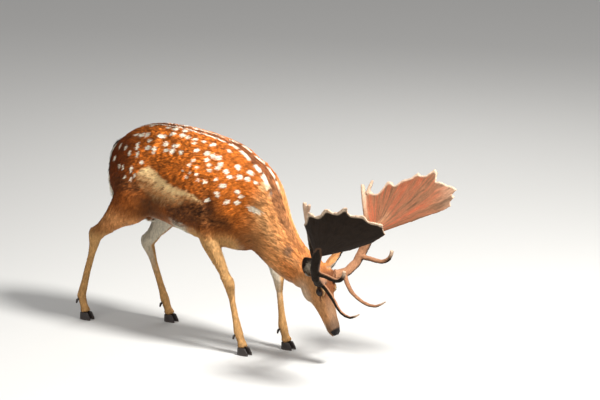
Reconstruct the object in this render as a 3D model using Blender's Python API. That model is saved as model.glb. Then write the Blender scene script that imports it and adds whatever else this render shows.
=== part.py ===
"""Fallow buck (Dama dama) grazing, with palmate antlers: a still, life-size model.

The buck heads along +X, its left side is +Y and it stands on the floor plane.
Everything is in metres. Shapes are lofts: smooth tubes of egg-shaped rings
through a few stations. Flesh is fused from overlapping lofts and then parted
with thin cuts, and antlers, eyes and hooves are pieces of their own.
"""
import math

import bmesh
import bpy
import numpy as np
from mathutils import Matrix, Vector

GAP = 0.0004                 # between neighbouring pieces
SIDES = (("left", 1), ("right", -1))

# Trunk
TRUNK_VOXEL = 0.009          # grain of the fused flesh before it is thinned out
LEG_VOXEL = 0.004
LOWER_LEG_TRIANGLES = 165
SMOOTH_FROM = (0.44, 0.56)   # flesh above these heights is smoothed into one form
BODY_TRIANGLES = 1900
RUMP_HALF_WIDTH = 0.124
NECK_HALF_WIDTH = 0.064
NECK_PLANE = ((0.475, 0.0, 0.62), (0.97, 0.0, -0.24))
HEAD_PLANE = ((0.738, 0.0, 0.385), (0.877, 0.0, -0.48))
TAIL_LENGTH = 0.215

# Legs: joint places (x, distance from the middle plane, z), hoof on the floor
CORONET_HEIGHT = 0.031
CANNON_HALF_WIDTH = 0.0128
FORE_JOINTS = {
    "left": ((0.425, 0.050, 0.70), (0.392, 0.108, 0.505), (0.520, 0.098, 0.292),
             (0.549, 0.092, 0.094), (0.573, 0.090, CORONET_HEIGHT)),
    "right": ((0.385, 0.050, 0.70), (0.300, 0.112, 0.505), (0.424, 0.100, 0.292),
              (0.466, 0.092, 0.094), (0.490, 0.090, CORONET_HEIGHT)),
}
HIND_JOINTS = {
    "left": ((-0.040, 0.056, 0.70), (-0.020, 0.108, 0.545), (-0.186, 0.098, 0.318),
             (-0.092, 0.094, 0.088), (-0.066, 0.094, CORONET_HEIGHT)),
    "right": ((-0.075, 0.056, 0.70), (-0.085, 0.108, 0.560), (-0.293, 0.106, 0.372),
              (-0.379, 0.104, 0.098), (-0.357, 0.104, CORONET_HEIGHT)),
}
# Ring sizes along a leg: (bone, way along it, half width, front half, rear half)
FORE_RINGS = (
    (0, 0.00, 0.026, 0.045, 0.045), (0, 0.45, 0.044, 0.078, 0.080),
    (0, 0.85, 0.043, 0.066, 0.064), (1, 0.20, 0.034, 0.044, 0.043),
    (1, 0.50, 0.0285, 0.034, 0.033), (1, 0.80, 0.0215, 0.0245, 0.0245),
    (2, 0.00, 0.0225, 0.0245, 0.0250), (2, 0.13, 0.0185, 0.0195, 0.0215),
    (2, 0.33, CANNON_HALF_WIDTH, 0.0130, 0.0155),
    (2, 0.66, CANNON_HALF_WIDTH, 0.0130, 0.0155),
    (2, 0.90, 0.0165, 0.0160, 0.0185), (3, 0.05, 0.0190, 0.0175, 0.0215),
    (3, 0.55, 0.0165, 0.0155, 0.0175), (3, 1.00, 0.0215, 0.0215, 0.0225),
)
HIND_RINGS = (
    (0, 0.00, 0.046, 0.105, 0.125), (0, 0.55, 0.052, 0.120, 0.118),
    (1, 0.05, 0.048, 0.102, 0.104), (1, 0.32, 0.038, 0.070, 0.072),
    (1, 0.62, 0.0275, 0.046, 0.046), (1, 0.86, 0.0210, 0.0300, 0.0360),
    (2, 0.00, 0.0220, 0.0290, 0.0400), (2, 0.14, 0.0185, 0.0220, 0.0250),
    (2, 0.34, CANNON_HALF_WIDTH, 0.0155, 0.0175),
    (2, 0.66, CANNON_HALF_WIDTH, 0.0145, 0.0165),
    (2, 0.90, 0.0165, 0.0165, 0.0185), (3, 0.05, 0.0190, 0.0175, 0.0215),
    (3, 0.55, 0.0165, 0.0155, 0.0175), (3, 1.00, 0.0215, 0.0215, 0.0225),
)
FORE_CUT_TOP = 0.515
FORE_CUT_BOTTOM = 0.318
HIND_CUT_TOP = 0.600
HIND_CUT_BOTTOM = {"left": 0.345, "right": 0.402}

# Hooves
CLAW_LENGTH = 0.058
CLAW_WIDTH = 0.0225
CLAW_SPREAD = 0.0128         # from the foot's middle to a claw's middle

# Head: a frame of its own, with its origin at the poll
POLL = Vector((0.782, 0.022, 0.408))
HEAD_NOD = math.radians(68)  # the nose line below the level
HEAD_TURN = math.radians(2)  # to the left
HEAD_TRIANGLES = 570
EYE_RADIUS = 0.0170
EYE_PLACE = (0.108, 0.0405, 0.014)
EAR_LENGTH = 0.150
EAR_WIDTH = 0.036            # half the widest spread of the shell
EAR_THICKNESS = 0.0062
EAR_ROOT = (0.012, 0.036, 0.006)
EAR_AIM = (-0.40, 0.76, 0.50)
EAR_OPENING = (0.80, 0.25, 0.45)

# Antlers, in level axes from the poll: ahead, outward, up
BEAM_RADIUS = 0.0205
TINE_RADIUS = 0.0118
PALM_ROOT = (0.140, 0.178, 0.098)
PALM_AHEAD = (0.853, 0.147, 0.500)      # along the lower edge, to the tip
PALM_REAR = (-0.556, 0.390, 0.734)      # across the fan, to the back tine
PALM_THICKNESS = 0.0170
PALM_HOLLOW = 0.020                     # how far the inner face is dished
# The fan's rim from its lower edge to its rear edge, with its knobs and spellers:
# the angle of each spoke in degrees, and its length. The left fan reaches back to
# the back tine and is grown together with it; on the right there is a gap.
PALM_RIM = {
    "left": ((-8.5, 0.392), (-7.6, 0.427), (-5.0, 0.424), (-3.0, 0.449), (-1.2, 0.436),
             (0.3, 0.466), (2.6, 0.453), (6.0, 0.423), (10.3, 0.400), (12.6, 0.378),
             (16.8, 0.402), (20.0, 0.404), (21.8, 0.353), (25.2, 0.334), (28.8, 0.336),
             (31.6, 0.298), (38.5, 0.267), (44.2, 0.229), (50.2, 0.240), (54.5, 0.237),
             (57.2, 0.212), (63.0, 0.183), (69.5, 0.178), (75.5, 0.196), (84.0, 0.206)),
    "right": ((-11.0, 0.200), (-8.5, 0.330), (-5.5, 0.425), (-2.5, 0.432), (0.5, 0.452),
              (3.0, 0.431), (6.2, 0.403), (8.8, 0.409), (10.8, 0.412), (12.9, 0.386),
              (16.0, 0.364), (18.6, 0.362), (20.6, 0.388), (22.4, 0.375), (24.6, 0.328),
              (28.0, 0.311), (31.8, 0.314), (34.6, 0.304), (37.5, 0.260), (43.0, 0.236),
              (47.5, 0.244), (51.5, 0.243), (55.5, 0.198), (64.0, 0.165)),
}
ANTLER_NOD = {"left": math.radians(-2.0), "right": math.radians(1.5)}


def spread(rows, steps):
    """A Catmull-Rom curve through the rows, with this many rows to each gap."""
    rows = np.array(rows, float)
    ends = np.vstack([2 * rows[0] - rows[1], rows, 2 * rows[-1] - rows[-2]])
    curve = []
    for index in range(len(rows) - 1):
        a, b, c, d = ends[index:index + 4]
        for step in range(steps):
            t = step / steps
            curve.append(0.5 * (2 * b + (c - a) * t + (2 * a - 5 * b + 4 * c - d) * t ** 2
                                + (3 * b - a - 3 * c + d) * t ** 3))
    curve.append(rows[-1])
    return np.array(curve)


def make_object(name, points, faces):
    """An object from points and faces, its faces turned outward."""
    shape = bmesh.new()
    corners = [shape.verts.new(point) for point in points]
    for face in faces:
        shape.faces.new([corners[index] for index in face])
    bmesh.ops.triangulate(shape, faces=shape.faces)
    bmesh.ops.recalc_face_normals(shape, faces=shape.faces)
    mesh = bpy.data.meshes.new(name)
    shape.to_mesh(mesh)
    shape.free()
    piece = bpy.data.objects.new(name, mesh)
    bpy.context.scene.collection.objects.link(piece)
    return piece


def tube(name, rings):
    """A closed body through rings of equal length, with a point closing each end."""
    count = len(rings[0])
    points = [tuple(point) for ring in rings for point in ring]
    faces = []
    for row in range(len(rings) - 1):
        for index in range(count):
            after = (index + 1) % count
            low = row * count
            high = low + count
            faces.append((low + index, low + after, high + after, high + index))
    for row in (0, len(rings) - 1):
        middle = len(points)
        points.append(tuple(np.mean(rings[row], axis=0)))
        for index in range(count):
            faces.append((row * count + index, row * count + (index + 1) % count, middle))
    return make_object(name, points, faces)


def loft(name, rows, sides, steps=2, across=(0, 1, 0), power=0.9, egg=0.0, upright=False):
    """A tube along the rows x, y, z, half width, upper half and lower half.

    A ring stands square to the path. Power under 1 makes it boxy, and egg makes
    its lower half the wider one. An upright loft keeps its rings square to X.
    """
    rows = spread(rows, steps)
    path = rows[:, :3]
    ways = np.gradient(path, axis=0)
    rings = []
    for row, way in zip(rows, ways):
        along = Vector((1, 0, 0)) if upright else Vector(way).normalized()
        side = Vector(across)
        side = (side - side.dot(along) * along).normalized()
        up = along.cross(side)
        half_width, upper, lower = row[3:6]
        ring = []
        for index in range(sides):
            turn = 2 * math.pi * (index + 0.5) / sides
            c = math.copysign(abs(math.cos(turn)) ** power, math.cos(turn))
            s = math.copysign(abs(math.sin(turn)) ** power, math.sin(turn))
            reach = upper if s > 0 else lower
            ring.append(Vector(row[:3]) + side * c * half_width * (1 - egg * s) + up * s * reach)
        rings.append(ring)
    return tube(name, rings)


def ball(name, centre, radii, turn=Matrix.Identity(3), rows=8, sides=12):
    """An ellipsoid with its own axes."""
    rings = []
    for row in range(1, rows):
        lift = math.pi * row / rows
        rings.append([Vector(centre) + turn @ Vector((
            -radii[0] * math.cos(lift),
            radii[1] * math.sin(lift) * math.cos(2 * math.pi * index / sides),
            radii[2] * math.sin(lift) * math.sin(2 * math.pi * index / sides)))
            for index in range(sides)])
    return tube(name, rings)


def settle(piece):
    """Replace a piece's mesh by the one its modifiers make."""
    graph = bpy.context.evaluated_depsgraph_get()
    mesh = bpy.data.meshes.new_from_object(piece.evaluated_get(graph))
    piece.modifiers.clear()
    old = piece.data
    piece.data = mesh
    bpy.data.meshes.remove(old)
    return piece


def discard(*pieces):
    for piece in pieces:
        bpy.data.objects.remove(piece)


def copy_of(piece, name):
    twin = bpy.data.objects.new(name, piece.data.copy())
    bpy.context.scene.collection.objects.link(twin)
    return twin


def grown(piece, by=GAP):
    """A copy that stands proud of the piece all round, as a cutter."""
    twin = copy_of(piece, piece.name + "_grown")
    normals = [vertex.normal.copy() for vertex in twin.data.vertices]
    for vertex, normal in zip(twin.data.vertices, normals):
        vertex.co += normal * by
    return twin


def combine(piece, other, operation):
    """Boolean a piece with another and keep the result in the first."""
    boolean = piece.modifiers.new("combine", "BOOLEAN")
    boolean.operation = operation
    boolean.object = other
    return settle(piece)


def carve(piece, *neighbours):
    """Take room for its neighbours, and the gap round them, out of a piece."""
    for neighbour in neighbours:
        cutter = grown(neighbour)
        combine(piece, cutter, "DIFFERENCE")
        discard(cutter)
    return piece


def largest_shell(piece):
    """Drop crumbs that a cut may leave, and keep the biggest body."""
    shape = bmesh.new()
    shape.from_mesh(piece.data)
    left = set(shape.verts)
    shells = []
    while left:
        seeds = [left.pop()]
        shell = set(seeds)
        while seeds:
            vertex = seeds.pop()
            for edge in vertex.link_edges:
                other = edge.other_vert(vertex)
                if other not in shell:
                    shell.add(other)
                    seeds.append(other)
        left -= shell
        shells.append(shell)
    shells.sort(key=len)
    for shell in shells[:-1]:
        bmesh.ops.delete(shape, geom=list(shell), context="VERTS")
    shape.to_mesh(piece.data)
    shape.free()
    return piece


def fuse(name, pieces, voxel, smoothing, heights=None):
    """One closed skin over overlapping pieces, smoothed (above the given heights)."""
    shape = bmesh.new()
    for piece in pieces:
        shape.from_mesh(piece.data)
    mesh = bpy.data.meshes.new(name)
    shape.to_mesh(mesh)
    shape.free()
    discard(*pieces)
    body = bpy.data.objects.new(name, mesh)
    bpy.context.scene.collection.objects.link(body)
    remesh = body.modifiers.new("fuse", "REMESH")
    remesh.mode = "VOXEL"
    remesh.voxel_size = voxel
    settle(body)
    smooth = body.modifiers.new("smooth", "SMOOTH")
    smooth.iterations = smoothing
    if heights:
        group = body.vertex_groups.new(name="smooth")
        for vertex in body.data.vertices:
            weight = (vertex.co.z - heights[0]) / (heights[1] - heights[0])
            group.add([vertex.index], min(1, max(0, weight)), "REPLACE")
        smooth.vertex_group = group.name
    return settle(body)


def thin(piece, triangles):
    """Thin a piece's mesh out to about this many triangles."""
    piece.data.calc_loop_triangles()
    fewer = piece.modifiers.new("thin", "DECIMATE")
    fewer.ratio = triangles / len(piece.data.loop_triangles)
    return settle(piece)


def slab(name, front, back):
    """A closed plate between two grids of points."""
    rows, columns = len(front), len(front[0])
    points = [point for grid in (front, back) for row in grid for point in row]
    behind = rows * columns
    faces = []
    for row in range(rows - 1):
        for column in range(columns - 1):
            corner = row * columns + column
            patch = (corner, corner + 1, corner + columns + 1, corner + columns)
            faces.append(patch)
            faces.append(tuple(index + behind for index in reversed(patch)))
    rim = [column for column in range(columns)]
    rim += [row * columns + columns - 1 for row in range(1, rows)]
    rim += [(rows - 1) * columns + column for column in range(columns - 2, -1, -1)]
    rim += [row * columns for row in range(rows - 2, 0, -1)]
    for here, after in zip(rim, rim[1:] + rim[:1]):
        faces.append((after, here, here + behind, after + behind))
    return make_object(name, points, faces)


def box(name, lowest, highest):
    corners = [(x, y, z) for x in (lowest[0], highest[0])
               for y in (lowest[1], highest[1]) for z in (lowest[2], highest[2])]
    faces = ((0, 1, 3, 2), (4, 6, 7, 5), (0, 4, 5, 1), (2, 3, 7, 6), (0, 2, 6, 4), (1, 5, 7, 3))
    return make_object(name, corners, faces)


def part_by(body, name, cell):
    """Cut the share of a cell out of a body, with a gap, and discard the cell."""
    share = copy_of(body, name)
    combine(share, cell, "INTERSECT")
    carve(body, cell)
    discard(cell)
    return largest_shell(share)


def beyond(plane, size=1.2):
    """A big box on the far side of a plane given by a point and its normal."""
    point, normal = Vector(plane[0]), Vector(plane[1]).normalized()
    half = size / 2
    cell = box("cell", (0, -half, -half), (size, half, half))
    aim = normal.to_track_quat("X", "Z").to_matrix().to_4x4()
    cell.data.transform(Matrix.Translation(point) @ aim)
    return cell


# --- flesh ---------------------------------------------------------------

def trunk_loft():
    """Ribs, back, belly and rump: x, top, bottom and half width of each ring."""
    outline = (
        (-0.272, 0.722, 0.640, 0.30), (-0.252, 0.758, 0.560, 0.62),
        (-0.205, 0.803, 0.515, 0.88), (-0.130, 0.850, 0.490, 1.00),
        (-0.040, 0.876, 0.474, 1.02), (0.055, 0.884, 0.458, 1.02),
        (0.150, 0.884, 0.438, 1.08), (0.245, 0.877, 0.424, 1.12),
        (0.335, 0.866, 0.412, 1.06), (0.415, 0.850, 0.408, 0.90),
        (0.475, 0.822, 0.420, 0.76), (0.525, 0.770, 0.450, 0.56),
    )
    rows = []
    for x, top, bottom, width in outline:
        half = (top - bottom) / 2
        rows.append((x, 0.0, bottom + half, RUMP_HALF_WIDTH * width, half, half))
    return loft("trunk_loft", rows, 24, power=0.86, egg=0.13, upright=True)


def neck_loft():
    """From the shoulders down to the poll, deep at its base."""
    width = NECK_HALF_WIDTH
    rows = (
        (0.400, 0.000, 0.650, 1.55 * width, 0.190, 0.210),
        (0.455, 0.002, 0.612, 1.46 * width, 0.188, 0.180),
        (0.507, 0.005, 0.560, 1.28 * width, 0.162, 0.150),
        (0.560, 0.008, 0.500, 1.12 * width, 0.126, 0.120),
        (0.622, 0.012, 0.436, 1.02 * width, 0.103, 0.098),
        (0.690, 0.015, 0.392, 0.96 * width, 0.089, 0.084),
        (0.762, 0.018, 0.366, 0.84 * width, 0.074, 0.072),
        (0.812, 0.020, 0.350, 0.55 * width, 0.045, 0.045),
    )
    return loft("neck_loft", rows, 20, egg=-0.04)


def leg_rows(joints, rings, sign):
    """Stations of a leg from its joints and its ring sizes."""
    rows = []
    for bone, way, half_width, front, rear in rings:
        start, end = Vector(joints[bone]), Vector(joints[bone + 1])
        place = start.lerp(end, way)
        rows.append((place.x, sign * place.y, place.z, half_width, front, rear))
    return rows


def make_flesh():
    """Fused trunk, neck and upper legs, parted into nodes, and the lower legs."""
    lofts = [trunk_loft(), neck_loft()]
    lofts.append(ball("sheath", (-0.078, 0, 0.472), (0.062, 0.022, 0.030)))
    lowers = {}
    for end, all_joints, rings in (("foreleg", FORE_JOINTS, FORE_RINGS),
                                   ("hindleg", HIND_JOINTS, HIND_RINGS)):
        for side, sign in SIDES:
            rows = leg_rows(all_joints[side], rings, sign)
            lofts.append(loft("leg", rows[:9], 14, steps=3))
            lower = loft("lower", rows[4:], 14, steps=3)
            name = f"{end}_{side}_lower"
            lowers[end, side] = thin(fuse(name, [lower], LEG_VOXEL, 2), LOWER_LEG_TRIANGLES)
    body = thin(fuse("trunk", lofts, TRUNK_VOXEL, 30, SMOOTH_FROM), BODY_TRIANGLES)

    for side, sign in SIDES:
        elbow = FORE_JOINTS[side][1][0]
        cells = (
            ("foreleg", FORE_CUT_BOTTOM, (elbow - 0.105, 0.052), (elbow + 0.155, FORE_CUT_TOP)),
            ("hindleg", HIND_CUT_BOTTOM[side], (-0.450, 0.030), (0.105, HIND_CUT_TOP)),
        )
        for end, cut, (rear, inner), (front, top) in cells:
            near, far = sorted((sign * inner, sign * 0.30))
            cell = box("cell", (rear, near, cut), (front, far, top))
            part_by(body, f"{end}_{side}_upper", cell)
            above = box("above", (-1, -1, cut - GAP), (1, 1, 1))
            under = box("under", (-1, -1, -1), (1, 1, CORONET_HEIGHT))
            for cutter in (above, under):
                combine(lowers[end, side], cutter, "DIFFERENCE")
                discard(cutter)
    largest_shell(body)
    discard(part_by(body, "crown", beyond(HEAD_PLANE)))
    part_by(body, "neck", beyond(NECK_PLANE))
    largest_shell(body)
    return body, lowers


def make_tail(trunk):
    """The tail hangs close behind the rump."""
    end = TAIL_LENGTH
    rows = (
        (-0.238, 0, 0.768, 0.016, 0.013, 0.013), (-0.264, 0, 0.742, 0.021, 0.014, 0.014),
        (-0.284, 0, 0.745 - 0.25 * end, 0.026, 0.014, 0.014),
        (-0.291, 0, 0.745 - 0.55 * end, 0.027, 0.013, 0.013),
        (-0.290, 0, 0.745 - 0.82 * end, 0.021, 0.011, 0.011),
        (-0.284, 0, 0.745 - end, 0.007, 0.005, 0.005),
    )
    tail = loft("tail", rows, 8)
    carve(trunk, tail)
    return tail


# --- feet ----------------------------------------------------------------

def make_claw(name, x, y, inward):
    """One half of a cloven hoof, with a flat sole and a straight inner wall."""
    rings = []
    for height, size, shift in ((0.0, 1.0, 0.0), (0.010, 0.97, -0.001),
                                (CORONET_HEIGHT - GAP, 0.70, -0.007)):
        ring = []
        for index in range(10):
            turn = 2 * math.pi * index / 10
            ahead = math.cos(turn) * CLAW_LENGTH / 2 * size
            aside = math.sin(turn) * CLAW_WIDTH / 2 * (0.75 + 0.25 * size)
            aside *= 1 - 0.25 * math.cos(turn)
            if aside * inward > 0:
                aside *= 0.55
            ring.append(Vector((x + shift + ahead, y + aside, height)))
        rings.append(ring)
    return tube(name, rings)


def make_feet(lowers):
    """Two claws and two dewclaws under each lower leg."""
    for end, all_joints in (("fore", FORE_JOINTS), ("hind", HIND_JOINTS)):
        for side, sign in SIDES:
            leg = lowers[end + "leg", side]
            fetlock, coronet = Vector(all_joints[side][3]), Vector(all_joints[side][4])
            for claw, way in (("inner", -1), ("outer", 1)):
                y = sign * (coronet.y + way * CLAW_SPREAD)
                make_claw(f"hoof_{end}_{side}_{claw}", coronet.x + 0.009, y, -sign * way)
                root = fetlock.lerp(coronet, 0.25)
                y = sign * (root.y + way * 0.0105)
                rows = (
                    (root.x - 0.010, y, root.z + 0.004, 0.0062, 0.006, 0.006),
                    (root.x - 0.022, y, root.z - 0.006, 0.0064, 0.006, 0.006),
                    (root.x - 0.026, y, root.z - 0.020, 0.0040, 0.004, 0.004),
                )
                dewclaw = loft(f"dewclaw_{end}_{side}_{claw}", rows, 5, steps=1)
                carve(leg, dewclaw)


# --- head ----------------------------------------------------------------

def head_axes():
    """Columns along the nose, to the left and out of the forehead."""
    nose = Vector((math.cos(HEAD_NOD), 0, -math.sin(HEAD_NOD)))
    turn = Matrix.Rotation(HEAD_TURN, 3, "Z")
    nose = turn @ nose
    left = turn @ Vector((0, 1, 0))
    return Matrix((nose, left, nose.cross(left))).transposed()


def on_head(along, aside, out):
    return POLL + head_axes() @ Vector((along, aside, out))


def head_loft():
    """Skull, face and muzzle: way along the nose line, top, bottom, half width."""
    outline = (
        (-0.035, 0.016, -0.060, 0.038), (0.000, 0.031, -0.086, 0.047),
        (0.040, 0.040, -0.098, 0.0505), (0.080, 0.044, -0.094, 0.0500),
        (0.115, 0.041, -0.081, 0.0455), (0.150, 0.034, -0.066, 0.0380),
        (0.190, 0.026, -0.053, 0.0320), (0.230, 0.021, -0.044, 0.0288),
        (0.262, 0.019, -0.038, 0.0285), (0.285, 0.014, -0.031, 0.0250),
        (0.299, 0.004, -0.021, 0.0160),
    )
    rows = []
    for along, top, bottom, half_width in outline:
        half = (top - bottom) / 2
        rows.append((*on_head(along, 0, bottom + half), half_width, half, half))
    return loft("head_loft", rows, 24, steps=3, across=head_axes().col[1], power=0.88)


def make_eye(side, sign):
    along, aside, out = EYE_PLACE
    radii = (EYE_RADIUS,) * 3
    return ball(f"eye_{side}", on_head(along, sign * aside, out), radii, head_axes(), 7, 10)


def make_ear(side, sign):
    """A leaf-shaped shell, rolled to a tube at its root and open towards the nose."""
    axes = head_axes()
    aim = axes @ Vector((EAR_AIM[0], sign * EAR_AIM[1], EAR_AIM[2])).normalized()
    opening = axes @ Vector((EAR_OPENING[0], sign * EAR_OPENING[1], EAR_OPENING[2]))
    opening = (opening - opening.dot(aim) * aim).normalized()
    across = aim.cross(opening)
    root = on_head(EAR_ROOT[0], sign * EAR_ROOT[1], EAR_ROOT[2])
    outer, inner = [], []
    for row in range(8):
        way = row / 7 * 0.965
        half_width = EAR_WIDTH * math.sin(math.pi * (0.15 + 0.85 * way)) ** 0.75
        roll = math.radians(128 - 72 * way ** 0.6)
        radius = half_width / math.sin(min(roll, math.pi / 2))
        spine = root + aim * EAR_LENGTH * way - opening * 0.010 * math.sin(math.pi * way)
        outer_row, inner_row = [], []
        for column in range(7):
            turn = roll * (column / 3 - 1)
            wall = EAR_THICKNESS * (1 - 0.35 * (column / 3 - 1) ** 2)
            for shell, reach in ((outer_row, radius), (inner_row, radius - wall)):
                shell.append(spine + across * reach * math.sin(turn)
                             + opening * (radius - reach * math.cos(turn)))
        outer.append(outer_row)
        inner.append(inner_row)
    return slab(f"ear_{side}", outer, inner)


def make_head():
    """The head, with sockets and roots carved for what sits in it."""
    turn = head_axes()
    pieces = [head_loft(), neck_loft(), ball("nose_pad", on_head(0.277, 0, -0.002),
                                             (0.021, 0.0245, 0.0175), turn)]
    for _, sign in SIDES:
        pieces.append(ball("orbit", on_head(0.100, sign * 0.036, 0.018),
                           (0.031, 0.0195, 0.022), turn))
        pieces.append(ball("cheek", on_head(0.088, sign * 0.030, -0.050),
                           (0.056, 0.0205, 0.036), turn))
        pieces.append(ball("pedicle", on_head(0.058, sign * 0.035, 0.040),
                           (0.023, 0.020, 0.018), turn))
    fused = fuse("fused_head", pieces, LEG_VOXEL, 3)
    head = part_by(fused, "head", beyond(HEAD_PLANE))
    discard(fused)
    thin(head, HEAD_TRIANGLES)
    for side, sign in SIDES:
        carve(head, make_ear(side, sign), make_eye(side, sign))
    return head


# --- antlers -------------------------------------------------------------

def antler_place(side, sign, point):
    """World place of a point given ahead, outward and up from the poll."""
    turn = Matrix.Rotation(HEAD_TURN, 3, "Z") @ Matrix.Rotation(ANTLER_NOD[side], 3, "Y")
    return POLL + turn @ Vector((point[0], sign * point[1], point[2]))


def tine(name, side, sign, stations, sides=6, steps=2):
    """A round tine: each station is ahead, outward, up and radius."""
    rows = []
    for *point, radius in stations:
        rows.append((*antler_place(side, sign, point), radius, radius, radius))
    return loft(name, rows, sides, steps=steps, across=(0.3, 1, 0.2), power=1.0)


def palm_axes():
    """The fan's directions: along its lower edge, across its spokes, and inward."""
    ahead = Vector(PALM_AHEAD).normalized()
    rear = (Vector(PALM_REAR) - Vector(PALM_REAR).dot(ahead) * ahead).normalized()
    return ahead, rear, ahead.cross(rear)


def on_palm(degrees, reach):
    """The point of the fan's plane on the spoke at an angle, this far from its root."""
    ahead, rear, _ = palm_axes()
    turn = math.radians(degrees)
    return Vector(PALM_ROOT) + (ahead * math.cos(turn) + rear * math.sin(turn)) * reach


def make_palm(side, sign):
    """The dished fan at the end of the beam, thickest at its root."""
    inward = palm_axes()[2]
    rim_points = PALM_RIM[side]
    first, last = rim_points[0][0], rim_points[-1][0]
    front, back = [], []
    for way in (0.07, 0.33, 0.58, 0.82, 1.0):
        front_row, back_row = [], []
        for degrees, reach in rim_points:
            share = (degrees - first) / (last - first)
            dish = -PALM_HOLLOW * math.sin(math.pi * share) * math.sin(math.pi * way * 0.75)
            place = on_palm(degrees, reach * way) + inward * dish
            rim = min(1, 9 * min(share, 1 - share) + 0.35)
            half = PALM_THICKNESS / 2 * rim * (1 - 0.55 * way ** 2.5)
            front_row.append(antler_place(side, sign, place + inward * half))
            back_row.append(antler_place(side, sign, place - inward * half))
        front.append(front_row)
        back.append(back_row)
    return slab(f"antler_{side}_palm", front, back)


def make_antler(side, sign, head):
    """Beam, brow tine, trez tine, back tine and palm of one antler."""
    name = f"antler_{side}_"
    big, small = BEAM_RADIUS, TINE_RADIUS
    beam = tine(name + "beam", side, sign, (
        (0.050, 0.034, -0.058, 0.98 * big), (0.066, 0.050, -0.046, 1.16 * big),
        (0.090, 0.092, -0.036, big), (0.106, 0.134, -0.006, 0.98 * big),
        (0.122, 0.162, 0.046, 1.02 * big), (0.140, 0.178, 0.096, 1.12 * big),
        (0.166, 0.195, 0.136, 0.86 * big), (0.199, 0.220, 0.178, 0.42 * big)), sides=9, steps=1)
    brow = tine(name + "brow_tine", side, sign, (
        (0.086, 0.078, -0.040, small), (0.110, 0.062, -0.074, 0.95 * small),
        (0.142, 0.057, -0.112, 0.85 * small), (0.186, 0.069, -0.148, 0.76 * small),
        (0.243, 0.078, -0.158, 0.66 * small), (0.292, 0.081, -0.132, 0.40 * small)))
    trez = tine(name + "trez_tine", side, sign, (
        (0.112, 0.146, 0.020, 1.10 * small), (0.168, 0.146, 0.016, 1.02 * small),
        (0.222, 0.150, 0.010, 0.92 * small), (0.258, 0.157, 0.028, 0.88 * small),
        (0.270, 0.160, 0.062, 0.78 * small)))
    if side == "left":
        back_way = (on_palm(88, 0.060), on_palm(86, 0.120), on_palm(85, 0.180),
                    on_palm(85, 0.232))
        knob_way = (on_palm(80, 0.184), on_palm(74.5, 0.216), on_palm(71.5, 0.238))
    else:
        back_way = ((0.105, 0.166, 0.135), (0.096, 0.177, 0.210), (0.091, 0.189, 0.280),
                    (0.086, 0.196, 0.322))
        knob_way = ((0.094, 0.187, 0.268), (0.106, 0.192, 0.298), (0.112, 0.196, 0.318))
    rear = tine(name + "back_tine", side, sign, (
        (0.126, 0.160, 0.062, 1.30 * small), (*back_way[0], 1.12 * small),
        (*back_way[1], 1.02 * small), (*back_way[2], 1.06 * small),
        (*back_way[3], 0.80 * small)))
    knob = tine("knob", side, sign, (
        (*knob_way[0], 0.72 * small), (*knob_way[1], 0.76 * small),
        (*knob_way[2], 0.62 * small)), steps=1)
    palm = carve(make_palm(side, sign), rear, knob)
    combine(rear, knob, "UNION")
    discard(knob)
    carve(beam, brow, trez, rear)
    largest_shell(carve(palm, beam))
    carve(head, beam)


def set_down():
    """Stand the whole animal on z = 0 with its box centred on the origin."""
    corners = [piece.matrix_world @ vertex.co for piece in bpy.data.objects
               for vertex in piece.data.vertices]
    lowest = [min(corner[axis] for corner in corners) for axis in range(3)]
    highest = [max(corner[axis] for corner in corners) for axis in range(3)]
    shift = Vector(((lowest[0] + highest[0]) / -2, (lowest[1] + highest[1]) / -2, -lowest[2]))
    for piece in bpy.data.objects:
        piece.data.transform(Matrix.Translation(shift))
    return shift


def main():
    for old in list(bpy.data.objects):
        bpy.data.objects.remove(old)
    trunk, lowers = make_flesh()
    make_tail(trunk)
    make_feet(lowers)
    head = make_head()
    for side, sign in SIDES:
        make_antler(side, sign, head)
    return set_down()


SHIFT = main()
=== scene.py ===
"""Looks of a grazing fallow buck: skin, coat, antlers in velvet, hooves, eyes and the stage.

The flesh is one skin fused from the solids of the frame, drawn in by the depth of the
coat. Tufts of solid mesh lie over it and carry its markings. Points are in metres.
"""
import math

import bmesh
import bpy
import numpy as np
from mathutils import Matrix, Vector
from mathutils.bvhtree import BVHTree


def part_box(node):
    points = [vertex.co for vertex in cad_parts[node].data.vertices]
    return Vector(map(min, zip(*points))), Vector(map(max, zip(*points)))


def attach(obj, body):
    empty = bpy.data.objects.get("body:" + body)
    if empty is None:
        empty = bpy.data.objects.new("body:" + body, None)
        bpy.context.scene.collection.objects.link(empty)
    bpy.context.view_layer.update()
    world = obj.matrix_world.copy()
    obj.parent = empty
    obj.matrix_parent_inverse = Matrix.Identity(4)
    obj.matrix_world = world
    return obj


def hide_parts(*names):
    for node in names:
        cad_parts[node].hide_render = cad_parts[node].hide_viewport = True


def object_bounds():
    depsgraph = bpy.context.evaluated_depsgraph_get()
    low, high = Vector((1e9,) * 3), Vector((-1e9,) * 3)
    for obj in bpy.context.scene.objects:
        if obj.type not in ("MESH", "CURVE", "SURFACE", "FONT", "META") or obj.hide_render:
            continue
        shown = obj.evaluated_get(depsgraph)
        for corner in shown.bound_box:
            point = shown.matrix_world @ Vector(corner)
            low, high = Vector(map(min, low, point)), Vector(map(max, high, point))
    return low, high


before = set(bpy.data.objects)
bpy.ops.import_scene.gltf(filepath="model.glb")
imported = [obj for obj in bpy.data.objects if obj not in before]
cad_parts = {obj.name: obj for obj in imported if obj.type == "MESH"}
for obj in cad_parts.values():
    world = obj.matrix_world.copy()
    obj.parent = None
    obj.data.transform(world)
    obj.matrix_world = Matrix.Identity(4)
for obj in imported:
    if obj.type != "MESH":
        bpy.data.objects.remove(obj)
CAD_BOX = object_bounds()

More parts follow.
